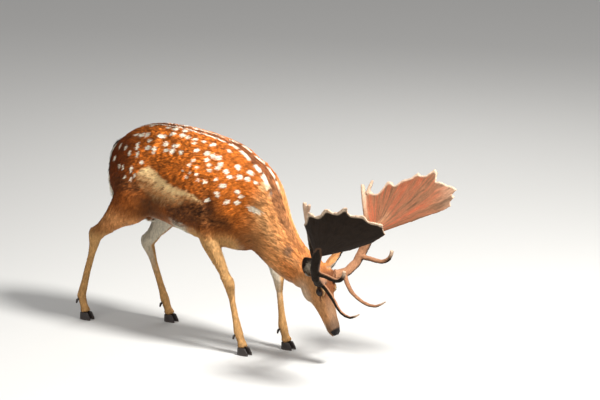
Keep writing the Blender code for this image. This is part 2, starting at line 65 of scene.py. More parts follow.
bl_info = {
    "name": "Grazing fallow buck",
    "version": (1, 0, 0),
    "blender": (4, 5, 0),
    "location": "View3D > Sidebar > Buck",
    "description": "Builds the skin, coat, antlers, hooves and eyes of a grazing fallow buck",
    "category": "Object",
}

SIDES = (("left", 1), ("right", -1))
LEGS = [f"{end}leg_{side}_{share}" for end in ("fore", "hind")
        for side, _ in SIDES for share in ("upper", "lower")]
FLESH = ["trunk", "neck", "head", "tail", "ear_left", "ear_right", *LEGS]
EYES = ["eye_left", "eye_right"]

# Depth of the coat over the skin, length and width of its tufts, how steeply they
# stand, and how many grow on a square centimetre, for each region of the body
REGIONS = {
    "trunk": (0.0060, 0.0170, 0.0027, 0.22, 6.6),
    "neck": (0.0070, 0.0190, 0.0026, 0.25, 7.4),
    "head": (0.0020, 0.0064, 0.0014, 0.16, 17.0),
    "ear": (0.0010, 0.0075, 0.0013, 0.20, 17.0),
    "tail": (0.0060, 0.0300, 0.0030, 0.20, 8.0),
    "upper": (0.0048, 0.0140, 0.0024, 0.22, 7.6),
    "lower": (0.0018, 0.0078, 0.0017, 0.18, 11.0),
}


def region_of(node):
    """The region of the coat that a node of flesh belongs to."""
    for word in ("ear_", "upper", "lower"):
        if word in node:
            return word.strip("_")
    return node


# ---------------------------------------------------------------- places

def middle(node):
    low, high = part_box(node)
    return (low + high) / 2


def square_to(axis, vector):
    """The part of a vector at right angles to an axis, at length 1."""
    return (vector - vector.dot(axis) * axis).normalized()


TRUNK_LOW, TRUNK_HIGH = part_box("trunk")
# The middle plane at the hips, on the floor: places on the body count from here
HIPS = Vector((TRUNK_LOW.x + 0.272, (TRUNK_LOW.y + TRUNK_HIGH.y) / 2, 0))
BROW = (middle("eye_left") + middle("eye_right")) / 2
LEFTWARD = (middle("eye_left") - middle("eye_right")).normalized()
NOD = math.radians(68)       # of the nose line below the level
NOSEWARD = square_to(LEFTWARD, Vector((math.cos(NOD), 0, -math.sin(NOD))))
HEAD_AXES = np.array([NOSEWARD, LEFTWARD, NOSEWARD.cross(LEFTWARD)])
EYE_RADIUS = (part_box("eye_left")[1].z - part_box("eye_left")[0].z) / 2
# The crest of the back, from the tail's root to the poll: x and z from the hips
CREST = ((-0.262, 0.745), (-0.205, 0.803), (-0.130, 0.850), (-0.040, 0.876), (0.055, 0.884),
         (0.150, 0.884), (0.245, 0.877), (0.335, 0.866), (0.415, 0.850), (0.475, 0.820),
         (0.530, 0.755), (0.578, 0.668), (0.635, 0.572), (0.700, 0.500), (0.765, 0.462))


def curve_through(points, steps=8):
    """A Catmull-Rom curve through points."""
    points = np.array(points, float)
    ends = np.vstack([2 * points[0] - points[1], points, 2 * points[-1] - points[-2]])
    t = np.arange(steps)[:, None] / steps
    curve = []
    for a, b, c, d in zip(ends, ends[1:], ends[2:], ends[3:]):
        curve.append(0.5 * (2 * b + (c - a) * t + (2 * a - 5 * b + 4 * c - d) * t ** 2
                            + (3 * b - a - 3 * c + d) * t ** 3))
    return np.vstack(curve + [points[-1:]])


def on_body(points):
    """Places counted from the hips."""
    return points - np.array(HIPS)


def on_head(points):
    """Places from the middle of the brow: towards the nose, to the left, out of the face."""
    return (points - np.array(BROW)) @ HEAD_AXES.T


def ramp(low, high, values):
    """A smooth step from 0 at low to 1 at high, either way round."""
    t = held((values - low) / (high - low))
    return t * t * (3 - 2 * t)


def bump_at(values, centre, width):
    return np.exp(-((values - centre) / width) ** 2)


def held(values):
    """Values held between 0 and 1."""
    return np.clip(values, 0, 1)


def cloud(points, size, seed=0):
    """Smooth value noise between -1 and 1, with features of the given size."""
    spots = points / size + 1000.0 + 17.3 * seed
    cell = np.floor(spots).astype(np.int64)
    part = spots - cell
    part = part * part * (3 - 2 * part)
    total = np.zeros(len(points))
    for corner in range(8):
        pick = np.array([corner >> axis & 1 for axis in range(3)])
        at = cell + pick
        mixed = (at[:, 0] * 73856093 ^ at[:, 1] * 19349663 ^ at[:, 2] * 83492791) & 0xFFFFFF
        mixed = (mixed * 1103515245 + 12345 + seed * 7919) & 0x7FFFFFFF
        value = (mixed >> 8 & 0xFFFF) / 32767.5 - 1
        total += value * np.prod(np.where(pick, part, 1 - part), axis=1)
    return total


def drawn_cloud(points, lies, size, seed):
    """Noise drawn out along the way the hair lies."""
    steps = size * np.array((-1.05, -0.35, 0.35, 1.05))
    return sum(cloud(points + lies * step, size, seed) for step in steps) / 2.3


def paint(red, green, blue):
    """A display colour from 0 to 255 as linear light."""
    shade = np.array([red, green, blue]) / 255
    return np.where(shade <= 0.04045, shade / 12.92, ((shade + 0.055) / 1.055) ** 2.4)


def blend(base, other, share):
    return base + (other - base) * share[:, None]


class Coat:
    """Linear colours at points, with named shades laid one over another."""

    def __init__(self, shades, name, *strengths):
        self.shades = shades
        self.tone = self.tint(name, *strengths)

    def tint(self, name, *strengths):
        """A shade made lighter or darker, everywhere or point by point."""
        shade = self.shades[name]
        for strength in strengths:
            shade = shade * (strength[:, None] if np.ndim(strength) else strength)
        return shade

    def lay(self, name, share, *strengths):
        self.tone = blend(self.tone, self.tint(name, *strengths), share)


# ---------------------------------------------------------------- meshes

def unit(vectors):
    return vectors / np.maximum(np.linalg.norm(vectors, axis=1, keepdims=True), 1e-12)


def read(items, key, width, kind=np.float64):
    values = np.empty(len(items) * width, kind)
    items.foreach_get(key, values)
    return values.reshape(-1, width) if width > 1 else values


def points_of(mesh):
    return read(mesh.vertices, "co", 3)


def move_points(mesh, points):
    mesh.vertices.foreach_set("co", points.astype(np.float32).ravel())
    mesh.update()


def normals_of(mesh):
    return read(mesh.vertex_normals, "vector", 3)


def corners_of(node):
    """The corners of a node of the frame."""
    return points_of(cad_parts[node].data)


def gaps_to(place, points):
    """How far each point lies from a place."""
    return np.linalg.norm(points - np.array(place), axis=1)


def laid_flat(vectors, normals):
    """Unit directions along the skin, from vectors that may lean out of it."""
    return unit(vectors - normals * np.sum(vectors * normals, axis=1, keepdims=True))


class Web:
    """The neighbours of each vertex, to smooth values over a mesh."""

    def __init__(self, mesh):
        self.ends = read(mesh.edges, "vertices", 2, np.int32)
        self.size = len(mesh.vertices)
        self.count = np.maximum(np.bincount(self.ends.ravel(), minlength=self.size), 1)

    def mean(self, values):
        if values.ndim > 1:
            return np.stack([self.mean(column) for column in values.T], axis=1)
        one, other = self.ends.T
        total = np.bincount(one, values[other], self.size)
        return (total + np.bincount(other, values[one], self.size)) / self.count

    def smooth(self, values, rounds, share=0.5):
        for _ in range(rounds):
            values = values + share * (self.mean(values) - values)
        return values

    def soft_normals(self, mesh):
        return unit(self.smooth(normals_of(mesh), 2))


def add_object(name, data):
    piece = bpy.data.objects.new(name, data)
    bpy.context.scene.collection.objects.link(piece)
    return piece


def mesh_from(name, shape):
    """A new mesh from a bmesh, which is freed."""
    mesh = bpy.data.meshes.new(name)
    shape.to_mesh(mesh)
    shape.free()
    return mesh


def evaluated(piece):
    """A new mesh of a piece as its modifiers leave it."""
    graph = bpy.context.evaluated_depsgraph_get()
    return bpy.data.meshes.new_from_object(piece.evaluated_get(graph))


def fused(name, nodes, voxel, swell=0.0006):
    """A new object round copies of the frame's nodes, swollen just enough to meet."""
    whole = bmesh.new()
    for node in nodes:
        copy = bmesh.new()
        copy.from_mesh(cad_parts[node].data)
        bmesh.ops.remove_doubles(copy, verts=copy.verts, dist=1e-5)
        copy.normal_update()
        for vertex, normal in [(vertex, vertex.normal.copy()) for vertex in copy.verts]:
            vertex.co += normal * swell
        mesh = mesh_from("copy", copy)
        whole.from_mesh(mesh)
        bpy.data.meshes.remove(mesh)
    mesh = mesh_from(name, whole)
    piece = add_object(name, mesh)
    remesh = piece.modifiers.new("fuse", "REMESH")
    remesh.mode = "VOXEL"
    remesh.voxel_size = voxel
    piece.data = evaluated(piece)
    piece.modifiers.clear()
    bpy.data.meshes.remove(mesh)
    piece.data.name = name
    return piece


def refine(mesh, chosen):
    """Split the faces round the chosen vertices once."""
    shape = bmesh.new()
    shape.from_mesh(mesh)
    shape.verts.ensure_lookup_table()
    edges = [edge for edge in shape.edges
             if chosen[edge.verts[0].index] and chosen[edge.verts[1].index]]
    bmesh.ops.subdivide_edges(shape, edges=edges, cuts=1, use_grid_fill=True)
    bmesh.ops.triangulate(shape, faces=[face for face in shape.faces if len(face.verts) > 4])
    shape.to_mesh(mesh)
    shape.free()


def store_colour(mesh, name, shades):
    layer = mesh.attributes.new(name, "FLOAT_COLOR", "POINT")
    four = np.ones((len(shades), 4), np.float32)
    four[:, :3] = held(shades)
    layer.data.foreach_set("color", four.ravel())


def store_value(mesh, name, values, kind="FLOAT"):
    layer = mesh.attributes.new(name, kind, "POINT")
    layer.data.foreach_set("value", values.astype(np.int32 if kind == "INT" else np.float32))


def store_vector(mesh, name, vectors):
    layer = mesh.attributes.new(name, "FLOAT_VECTOR", "POINT")
    layer.data.foreach_set("vector", vectors.astype(np.float32).ravel())


def triangles_of(mesh):
    mesh.calc_loop_triangles()
    return read(mesh.loop_triangles, "vertices", 3, np.int32)


def seat(piece, material, slot, *nodes):
    """Give a finished piece its material, and its place in the frame."""
    piece.data.materials.clear()
    piece.data.materials.append(material)
    piece.data.shade_smooth()
    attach(piece, "root")
    if nodes:
        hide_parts(*nodes)
    return piece


# ---------------------------------------------------------------- shaders

class Wire:
    """A socket of a material's nodes; arithmetic on it adds Math nodes."""

    def __init__(self, shop, socket):
        self.shop = shop
        self.socket = socket

    def sum_of(self, operation, *values):
        return self.shop.node("ShaderNodeMath", {"operation": operation}, *values)

    def __add__(self, other):
        return self.sum_of("ADD", self, other)

    def __sub__(self, other):
        return self.sum_of("SUBTRACT", self, other)

    def __rsub__(self, other):
        return self.sum_of("SUBTRACT", other, self)

    def __mul__(self, other):
        return self.sum_of("MULTIPLY", self, other)

    __radd__ = __add__
    __rmul__ = __mul__


class Shop:
    """The nodes of one material, which ends in a Principled shader."""

    def __init__(self, name, **constants):
        self.material = bpy.data.materials.new(name)
        self.material.use_nodes = True
        self.tree = self.material.node_tree
        self.shader = self.tree.nodes["Principled BSDF"]
        for key, value in constants.items():
            self.input(key).default_value = value

    def input(self, key):
        """A socket of the shader, by its name in lower case with underscores."""
        return next(socket for socket in self.shader.inputs
                    if socket.name.lower().replace(" ", "_") == key)

    def node(self, kind, settings=None, *values, out=0, **named):
        """Add a node: its settings first, then values or wires for its sockets."""
        made = self.tree.nodes.new(kind)
        for key, value in (settings or {}).items():
            setattr(made, key, value)
        sockets = list(enumerate(values)) + [(key.replace("_", " "), value)
                                             for key, value in named.items()]
        for key, value in sockets:
            self.feed(made.inputs[key], value)
        return Wire(self, made.outputs[out])

    def feed(self, socket, value):
        if isinstance(value, Wire):
            self.tree.links.new(value.socket, socket)
        else:
            socket.default_value = value

    def colour(self, name):
        return self.node("ShaderNodeAttribute", {"attribute_name": name})

    def value(self, name):
        return self.node("ShaderNodeAttribute", {"attribute_name": name}, out=2)

    def noise(self, scale, detail=2.0, stretch=None):
        place = self.node("ShaderNodeTexCoord", out=3)
        if stretch:
            place = self.node("ShaderNodeVectorMath", {"operation": "MULTIPLY"}, place, stretch)
        return self.node("ShaderNodeTexNoise", None, Vector=place, Scale=scale, Detail=detail)

    def mix(self, share, one, other, mode="MIX"):
        made = self.tree.nodes.new("ShaderNodeMix")
        made.data_type = "RGBA"
        made.blend_type = mode
        for socket, value in ((made.inputs[0], share), (made.inputs[6], one),
                              (made.inputs[7], other)):
            self.feed(socket, value)
        return Wire(self, made.outputs[2])

    def grey(self, value):
        return self.node("ShaderNodeCombineColor", None, value, value, value)

    def toned(self, tone):
        """The stored colour of the hair, made lighter or darker."""
        return self.mix(1.0, self.colour("hair"), self.grey(tone), "MULTIPLY")

    def bump(self, height, distance, strength):
        return self.node("ShaderNodeBump", None, Height=height, Distance=distance,
                         Strength=strength)

    def finish(self, **wires):
        for key, value in wires.items():
            self.feed(self.input(key), value)
        return self.material


# ---------------------------------------------------------------- looks of the buck

def colour_choice(name, words, red, green, blue):
    """A colour that a user may change, given as it looks on screen."""
    return bpy.props.FloatVectorProperty(name=name, description=words, subtype="COLOR", size=3,
                                         min=0, max=1, default=tuple(paint(red, green, blue)))


def size_choice(name, words, usual, low, high, **kind):
    """A length in metres, or another number that a user may change."""
    return bpy.props.FloatProperty(name=name, description=words, default=usual, min=low,
                                   max=high, **(kind or {"unit": "LENGTH"}))


class BuckColours(bpy.types.PropertyGroup):
    """Colours of the coat, the antlers and the bare parts"""

    rufous: colour_choice("Rufous", "Back, flanks and shoulders", 188, 101, 33)
    # Dark rufous: the darker coat of the thighs and rump, also laid on the rump, thighs and lower
    # flank as painted shade
    dark_rufous: colour_choice("Dark rufous", "Thighs, rump and elbows", 84, 32, 8)
    tan: colour_choice("Neck", "Sides of the neck and the cheeks", 214, 150, 92)
    cream: colour_choice("Flank band", "Band over the lower flank", 255, 216, 154)
    # Brown: partly the coat's own brown, partly painted shade under the band, behind the elbow, in
    # the fold of the stifle, under the chest and along the rear edges of the legs
    brown: colour_choice("Lower flank", "Under the band and round the elbow", 76, 45, 21)
    pale: colour_choice("Belly", "Belly, throat and the insides of the legs", 212, 204, 184)
    fawn: colour_choice("Legs", "Cannons and forearms", 190, 144, 90)
    white: colour_choice("Spots", "Spots and lines of the back", 255, 243, 218)
    stripe: colour_choice("Back stripe", "Stripe along the back and the nape", 112, 66, 40)
    grey: colour_choice("Grey", "Face and the patch behind the ear", 132, 104, 82)
    black: colour_choice("Black", "Tail, rump border and rims of the ears", 30, 21, 17)
    bare: colour_choice("Bare skin", "Nose, lips and lids", 24, 19, 18)
    velvet: colour_choice("Velvet", "Inner faces of the antlers", 158, 113, 82)
    blush: colour_choice("Blush", "Warm middle of the palms", 150, 80, 54)
    # Outer velvet: the palms' own dark velvet darkened further as painted shade, and also laid as
    # painted shade on the beams and under the trez tine
    dark_velvet: colour_choice("Outer velvet", "Outer faces of the palms", 22, 15, 8)
    # Velvet rim: pale fuzz of the rims and the tips, also painted highlight along the upper rims
    # of the palms
    rim: colour_choice("Velvet rim", "Fuzz of the rims and the tips", 220, 192, 164)
    horn: colour_choice("Horn", "Hooves and dewclaws", 44, 36, 32)


class BuckSizes(bpy.types.PropertyGroup):
    """Sizes of the coat, the eyes and the velvet"""

    grain: size_choice("Grain", "Spacing of the points of the skin", 0.0036, 0.002, 0.01)
    hair_length: size_choice("Hair length", "Share of the usual length of the coat",
                             1.0, 0.3, 1.5, subtype="FACTOR")
    hair_count: size_choice("Hair count", "Share of the usual number of tufts",
                            1.0, 0.1, 1.2, subtype="FACTOR")
    eye_opening: bpy.props.FloatVectorProperty(
        name="Eye opening", description="Half width, half height above and below the middle",
        size=3, default=(0.0156, 0.0104, 0.0086), unit="LENGTH")
    lid: size_choice("Lid", "Thickness of the lids over the eye", 0.0019, 0, 0.005)
    ridge: size_choice("Velvet ridges", "Height of the ridges of the palms", 0.0011, 0, 0.004)


def colours():
    """The colours as linear arrays, by name."""
    chosen = bpy.context.scene.buck_colours
    return {name: np.array(getattr(chosen, name)) for name in BuckColours.__annotations__}


def sizes():
    return bpy.context.scene.buck_sizes


# ---------------------------------------------------------------- markings

PARTS = ("trunk", "neck", "head", "tail", "ear", "foreleg", "hindleg")
# Rounds of smoothing that melt the parts together over the cuts between them
MELTING = {"tail": 4, "ear": 3, "head": 40}


def parts_of(node, web):
    """How far each point belongs to each part of the body."""
    kinds = np.array([name.split("_")[0] for name in FLESH])[node]
    return {part: web.smooth((kinds == part).astype(float), MELTING.get(part, 90))
            for part in PARTS}


# Spots of each flank, row by row from the back down: the angle round the barrel from
# straight up, and each spot's place ahead of the hips
SPOT_ROWS = (
    (8, -0.052, 0.038, 0.082, 0.134),
    (15, 0.086, 0.138, 0.166, 0.208, 0.252, 0.298, 0.382),
    (21, -0.104, -0.072, -0.040, 0.026, 0.046, 0.213),
    (28, -0.014, 0.074, 0.120, 0.136, 0.241, 0.294, 0.323, 0.349, 0.446, 0.501),
    (35, -0.186, -0.072, -0.014, 0.018, 0.086, 0.119, 0.166, 0.304, 0.371),
    (41, -0.141, 0.020, 0.239, 0.317, 0.361, 0.402, 0.465, 0.502, 0.533),
    (48, -0.105, -0.061, 0.224, 0.265, 0.325, 0.420),
    (59, -0.202, -0.033, 0.193, 0.233, 0.268, 0.365),
    (68, 0.218, 0.282, 0.315, 0.396),
    (76, -0.155, -0.136, -0.086, 0.460),
    (86, -0.064, 0.374, 0.479),
    (93, -0.115, -0.081, 0.378),
    (104, 0.465, 0.420, 0.328),
)
BARREL_MIDDLE = 0.66         # height of the axis that the angles turn about
# The stripe of the back, by way along the crest: its middle to the left, and half width
STRIPE_MIDDLE = ((0.56, 0.64, 0.70, 0.77, 0.83, 0.90, 1.0),
                 (0.000, -0.009, -0.016, -0.026, -0.024, -0.018, -0.008))
STRIPE_WIDTH = ((0.0, 0.1, 0.25, 0.45, 0.58, 0.66, 0.72, 0.80, 1.0),
                (0.010, 0.012, 0.0135, 0.0165, 0.0185, 0.0215, 0.022, 0.021, 0.017))
# Edges of the pale band of the flank: places ahead of the hips, then heights
BAND_PLACES = (-0.065, -0.036, 0.004, 0.057, 0.119, 0.196, 0.268, 0.315)
BAND_TOP = (0.660, 0.696, 0.718, 0.696, 0.668, 0.652, 0.643, 0.618)
BAND_BOTTOM = (0.650, 0.634, 0.592, 0.566, 0.572, 0.594, 0.612, 0.612)
LINE_DASHES = 17             # dashes of the white lines from the tail's root to the poll
SPOT_SEED, COAT_SEED, FUZZ_SEED = 11, 29, 53
LIGHTEST = 0.97              # most that hair may reflect of any colour


def spots_of(sign):
    """The spots of one side: angle in radians, place, half length, half width, strength."""
    dice = np.random.default_rng(SPOT_SEED + sign)
    spots = []
    for angle, *places in SPOT_ROWS:
        for place in places:
            wander = (0.012, 3.0) if sign > 0 else (0.001, 0.6)
            turn = math.radians(angle + dice.normal(0, wander[1]))
            upright = place < -0.05 and angle > 30
            low = 40 < angle < 72 and 0.0 < place < 0.34
            length, width = (0.0066, 0.0118) if upright else (0.0114, 0.0078)
            size = dice.uniform(0.75, 1.15) * (0.82 if low else 1.0)
            strength = dice.uniform(0.6, 0.9) if low else dice.uniform(0.88, 1.0)
            spots.append((turn, place + dice.normal(0, wander[0]), length * size,
                          width * size, strength))
    return spots


def crest_frame(body):
    """Way along the crest of the back from 0 at the tail to 1 at the poll, the distance
    to the left of it, and the distance from it seen from the side."""
    crest = curve_through(CREST)
    steps = np.r_[0, np.cumsum(np.linalg.norm(np.diff(crest, axis=0), axis=1))]
    steps /= steps[-1]
    # The nearest place of the crest, by its lean along the body
    aim = body[:, 0] * 0.72 - body[:, 2] * 0.70
    lean = crest[:, 0] * 0.72 - crest[:, 1] * 0.70
    order = np.argsort(lean)
    way = np.interp(aim, lean[order], steps[order])
    ahead, height = (np.interp(way, steps, column) for column in crest.T)
    below = np.hypot(body[:, 0] - ahead, body[:, 2] - height)
    aside = body[:, 1] - np.interp(body[:, 0], (0.40, 0.80), (0.0, 0.024))
    return way, aside, below


def markings(points, normals, lies, part, shades):
    """Linear colours of the coat at points on the body."""
    body = on_body(points)
    x, y, z = body.T
    side = np.where(y >= 0, 1.0, -1.0)
    down = -normals[:, 2]
    inward = -normals[:, 1] * side
    back = -normals[:, 0]
    leg = part["foreleg"] + part["hindleg"]
    coarse = cloud(points, 0.055, 1)
    fine = drawn_cloud(points, lies, 0.0085, 2)
    fleck = drawn_cloud(points, lies, 0.0042, 3)
    ragged = 0.6 * coarse + 0.4 * fine
    mottle = 0.6 * fine + 0.6 * fleck

    coat = Coat(shades, "rufous", 1 + 0.12 * coarse)
    # Rump and thighs are darker, partly their own darker coat and partly painted shade on the rear
    # of the body, and the brown behind the elbow is painted shade in its crease
    rear = ramp(0.05, -0.16, x + 0.30 * (0.72 - z) * ramp(0.72, 0.5, z)) * ramp(0.88, 0.78, z)
    coat.lay("dark_rufous", held(0.85 * rear + 0.25 * rear * mottle))
    # Painted shade in the crease behind the elbow
    elbow = bump_at(x, 0.330, 0.062) * bump_at(z, 0.595, 0.070)
    coat.lay("brown", held(0.8 * elbow + 0.8 * elbow * mottle), 0.62)
    # Painted shade on the lower flank, where the barrel turns under
    low = ramp(0.79, 0.62, z) * ramp(0.42, 0.25, x) * ramp(-0.08, 0.02, x)
    coat.lay("dark_rufous", held(0.28 * low + 0.40 * low * mottle))
    neck_marked(coat, x, z, normals, leg, ragged, mottle)

    # Band of the flank, with brown under it, partly the coat's own brown and partly painted shade
    # under the barrel
    band, depth, bottom = flank_band(x, z, ragged)
    under = ramp(bottom + 0.012, bottom - 0.012, z) * ramp(-0.30, -0.05, x) * ramp(0.37, 0.30, x)
    under = np.maximum(under, ramp(0.60, 0.54, z) * ramp(0.50, 0.40, x)) * (1 - leg)
    coat.lay("brown", 0.85 * under, 1 + 0.35 * mottle)
    coat.tone = blend(coat.tone, band_tone(shades, depth, mottle),
                      0.95 * band * (1 - 0.7 * part["neck"]))
    belly = ramp(0.35, 0.75, down + 0.12 * ragged) * ramp(0.56, 0.50, z) * (1 - part["neck"])
    coat.lay("pale", belly * (1 - 0.5 * leg))
    legs_marked(coat, part, z, y * side, inward, back, ragged, mottle)
    # Painted shade in the fold between the thigh and the belly, over brown fur
    fold = bump_at(x, 0.010, 0.095) * ramp(0.62, 0.575, z + 0.012 * ragged) * ramp(0.46, 0.52, z)
    coat.lay("brown", held(fold * (0.85 + 0.3 * mottle)) * ramp(0.3, -0.2, inward))
    groin = (1 - leg) * ramp(0.2, 0.7, inward) * ramp(0.56, 0.50, z) * ramp(0.2, 0.0, x)
    coat.lay("pale", 0.9 * groin)

    stripe_marked(coat, body, side, part, coarse, mottle)
    spotted = spots_marked(coat, body, side, normals, part, points)
    rump_marked(coat, part, x, y, z, normals, fine)
    head_marked(coat, points, normals, part, ragged, mottle)
    # Clumps of hair are painted lighter and darker, partly tone that varies at random and partly
    # painted light and shade between the clumps, most on the flank and least on the face
    rough = 0.42 + 0.40 * ramp(0.44, 0.28, x) * part["trunk"] + 0.25 * elbow
    rough *= 1 - 0.65 * held(part["head"] + part["ear"] + leg * ramp(0.56, 0.44, z))
    rough *= 1 - 0.4 * held(part["tail"] + belly)
    rough *= 1 - 0.8 * np.maximum(spotted, band * ramp(1.0, 0.1, depth))
    shade = np.exp(rough * (0.42 * fine + 1.25 * fleck))
    return coat.tone * np.minimum(shade, LIGHTEST / coat.tone.max(axis=1))[:, None]


def neck_marked(coat, x, z, normals, leg, ragged, mottle):
    """Neck: tan, redder towards the poll, with the throat pale and the chest brown, the brown low
    on the chest partly painted shade.
    """
    neck = ramp(0.47, 0.60, x + 0.35 * (0.62 - z) + 0.02 * ragged) * (1 - leg)
    coat.lay("tan", 0.80 * neck, 1 + 0.12 * mottle)
    coat.lay("rufous", 0.45 * neck * ramp(0.55, 0.46, z) * ramp(0.60, 0.70, x))
    throat = ramp(0.2, 0.75, -normals[:, 2] * 0.8 + normals[:, 0] * -0.45) * ramp(0.44, 0.56, x)
    coat.lay("pale", 0.40 * throat * neck, 0.5)
    # Brown low on the chest: partly its own colour, partly painted shade under the brisket
    chest = ramp(0.55, 0.49, z + 0.02 * ragged) * ramp(0.36, 0.42, x) * ramp(0.60, 0.52, x)
    coat.lay("brown", held((0.5 + 0.6 * mottle) * chest) * (1 - leg), 0.8)


def flank_band(x, z, ragged):
    """How far each point lies in the pale band, its depth below the top, and the bottom."""
    top = np.interp(x, BAND_PLACES, BAND_TOP) + 0.009 * ragged
    bottom = np.interp(x, BAND_PLACES, BAND_BOTTOM) + 0.014 * ragged
    reach = ramp(-0.062, -0.040, x) * ramp(0.325, 0.285, x)
    band = ramp(top + 0.008, top - 0.010, z) * ramp(bottom - 0.014, bottom + 0.014, z) * reach
    return band, held((top - z) / np.maximum(top - bottom, 0.01)), bottom


def band_tone(shades, depth, mottle):
    """Cream at the band's upper edge, tan and then brown below, the brown partly the coat's own
    and partly painted shade.
    """
    band = Coat(shades, "cream")
    band.lay("tan", held(ramp(0.15, 0.70, depth) + 0.5 * mottle), 0.85)
    band.lay("brown", 0.75 * ramp(0.30, 0.95, 0.8 * mottle + 0.75 * depth))
    return band.tone


def rump_marked(coat, part, x, y, z, normals, fine):
    """Rump patch, white inside a black border, under and round the tail."""
    rump = ramp(-0.205, -0.240, x) * (part["trunk"] + part["hindleg"]) * ramp(0.50, 0.56, z)
    rim = np.interp(z, (0.56, 0.66, 0.76), (0.045, 0.066, 0.034))
    coat.lay("black", 0.9 * rump * bump_at(np.abs(y), rim + 0.010, 0.011))
    coat.lay("white", rump * ramp(rim + 0.002, rim - 0.004, np.abs(y)))
    edge = ramp(0.60, 0.85, np.abs(normals[:, 1]) + 0.35 * ramp(0, 0.6, normals[:, 0]))
    coat.lay("black", part["tail"], 1 + 0.3 * fine)
    coat.lay("white", part["tail"] * edge * 0.95)


def legs_marked(coat, part, z, aside, inward, back, ragged, mottle):
    """Legs: fawn below, brown and tan above, with painted shade along the rear edge, pale on the
    inside.
    """
    fore, hind = part["foreleg"], part["hindleg"]
    leg = fore + hind
    high = hind * ramp(0.60, 0.50, z + 0.02 * ragged)
    coat.lay("rufous", held((0.75 + 0.3 * mottle) * high), 0.62)
    gaskin = bump_at(z, 0.455, 0.045) * bump_at(aside, 0.140, 0.06) * hind
    coat.lay("tan", held(gaskin * (0.85 + 0.4 * mottle)) * ramp(0.3, -0.2, inward))
    elbow = fore * ramp(0.47, 0.52, z + 0.012 * ragged) * ramp(0.62, 0.56, z)
    coat.lay("brown", held((0.65 + 0.7 * mottle) * elbow), 0.6)
    lower = ramp(0.44, 0.36, z + 0.02 * ragged) * hind
    lower = lower + ramp(0.52, 0.46, z + 0.012 * ragged) * fore
    coat.lay("fawn", lower, 1 + 0.08 * mottle)
    # Painted shade on the sides of the legs that face back
    rear_edge = leg * ramp(0.35, 0.85, back + 0.15 * ragged) * ramp(0.10, 0.22, z)
    coat.lay("brown", 0.85 * rear_edge, 0.55)
    coat.lay("pale", 0.9 * (leg * ramp(0.15, 0.7, inward) * ramp(0.16, 0.34, z)))
    fetlock = leg * ramp(0.10, 0.05, z) * ramp(-0.2, 0.7, back)
    coat.lay("brown", 0.6 * fetlock, 0.6)


def stripe_marked(coat, body, side, part, coarse, mottle):
    """The stripe along the back and the nape, between its two white lines."""
    way, aside, below = crest_frame(body)
    aside = np.abs(aside - np.interp(way, *STRIPE_MIDDLE))
    on_top = ramp(0.095, 0.060, below) * (1 - part["head"] - part["ear"]) * (1 - part["tail"])
    width = np.interp(way, *STRIPE_WIDTH)
    inside = ramp(width + 0.003, width - 0.003, aside + 0.003 * mottle) * on_top
    fade = np.interp(way, (0, 0.60, 0.80, 0.93, 1), (0.85, 0.80, 0.72, 0.45, 0.3))
    coat.lay("stripe", inside * fade, 1 + 0.25 * mottle)
    thick = np.interp(way, (0, 0.35, 0.5, 0.6, 0.72), (0.0022, 0.0024, 0.0036, 0.0060, 0.0062))
    line = ramp(1.35, 0.65, np.abs(aside - width) / thick + 0.35 * mottle)
    beat = np.sin(2 * math.pi * way * LINE_DASHES + 1.3 * side + 1.6 * coarse)
    gaps = ramp(-0.80, -0.45, beat) * ramp(0.46, 0.52, way) + ramp(0.52, 0.46, way)
    dashes = gaps * ramp(0.79, 0.73, way) * ramp(0.03, 0.07, way)
    coat.lay("white", held(line * dashes * on_top))
    nape = ramp(0.030, 0.045, aside) * ramp(0.07, 0.05, aside)
    coat.lay("cream", 0.18 * nape * on_top * ramp(0.72, 0.80, way))


def spots_marked(coat, body, side, normals, part, points):
    """White spots of the flanks, ragged along the hair, and the marks of the neck."""
    x, y, z = body.T
    angle = np.arctan2(np.abs(y), z - BARREL_MIDDLE)
    girth = np.hypot(y, z - BARREL_MIDDLE)
    frayed = 0.30 * cloud(points, 0.0085, 14) + 0.22 * cloud(points, 0.0042, 15)
    bare = 1 - part["head"] - part["ear"] - part["tail"]
    spotted = np.zeros(len(x))
    for _, sign in SIDES:
        here = (side == sign) & (bare > 0.5)
        for turn, place, length, width, strength in spots_of(sign):
            ahead = (x[here] - place) / length
            around = (angle[here] - turn) * girth[here] / width
            size = np.hypot(ahead + 0.45 * around, around - 0.20 * ahead) + frayed[here]
            spotted[here] = np.maximum(spotted[here], strength * ramp(1.32, 0.85, size))
    coat.lay("white", 0.98 * spotted)
    patch = np.hypot((x - 0.538) / 0.034, (z - 0.612 + 0.25 * (x - 0.538)) / 0.0135)
    smudge = np.hypot((x - 0.567) / 0.020, (z - 0.711) / 0.016)
    sides_only = ramp(0.3, 0.7, np.abs(normals[:, 1])) * (1 - part["foreleg"])
    coat.lay("white", 0.85 * ramp(1.2, 0.6, patch + frayed) * sides_only)
    coat.lay("cream", 0.5 * ramp(1.3, 0.5, smudge + frayed) * sides_only)
    return spotted


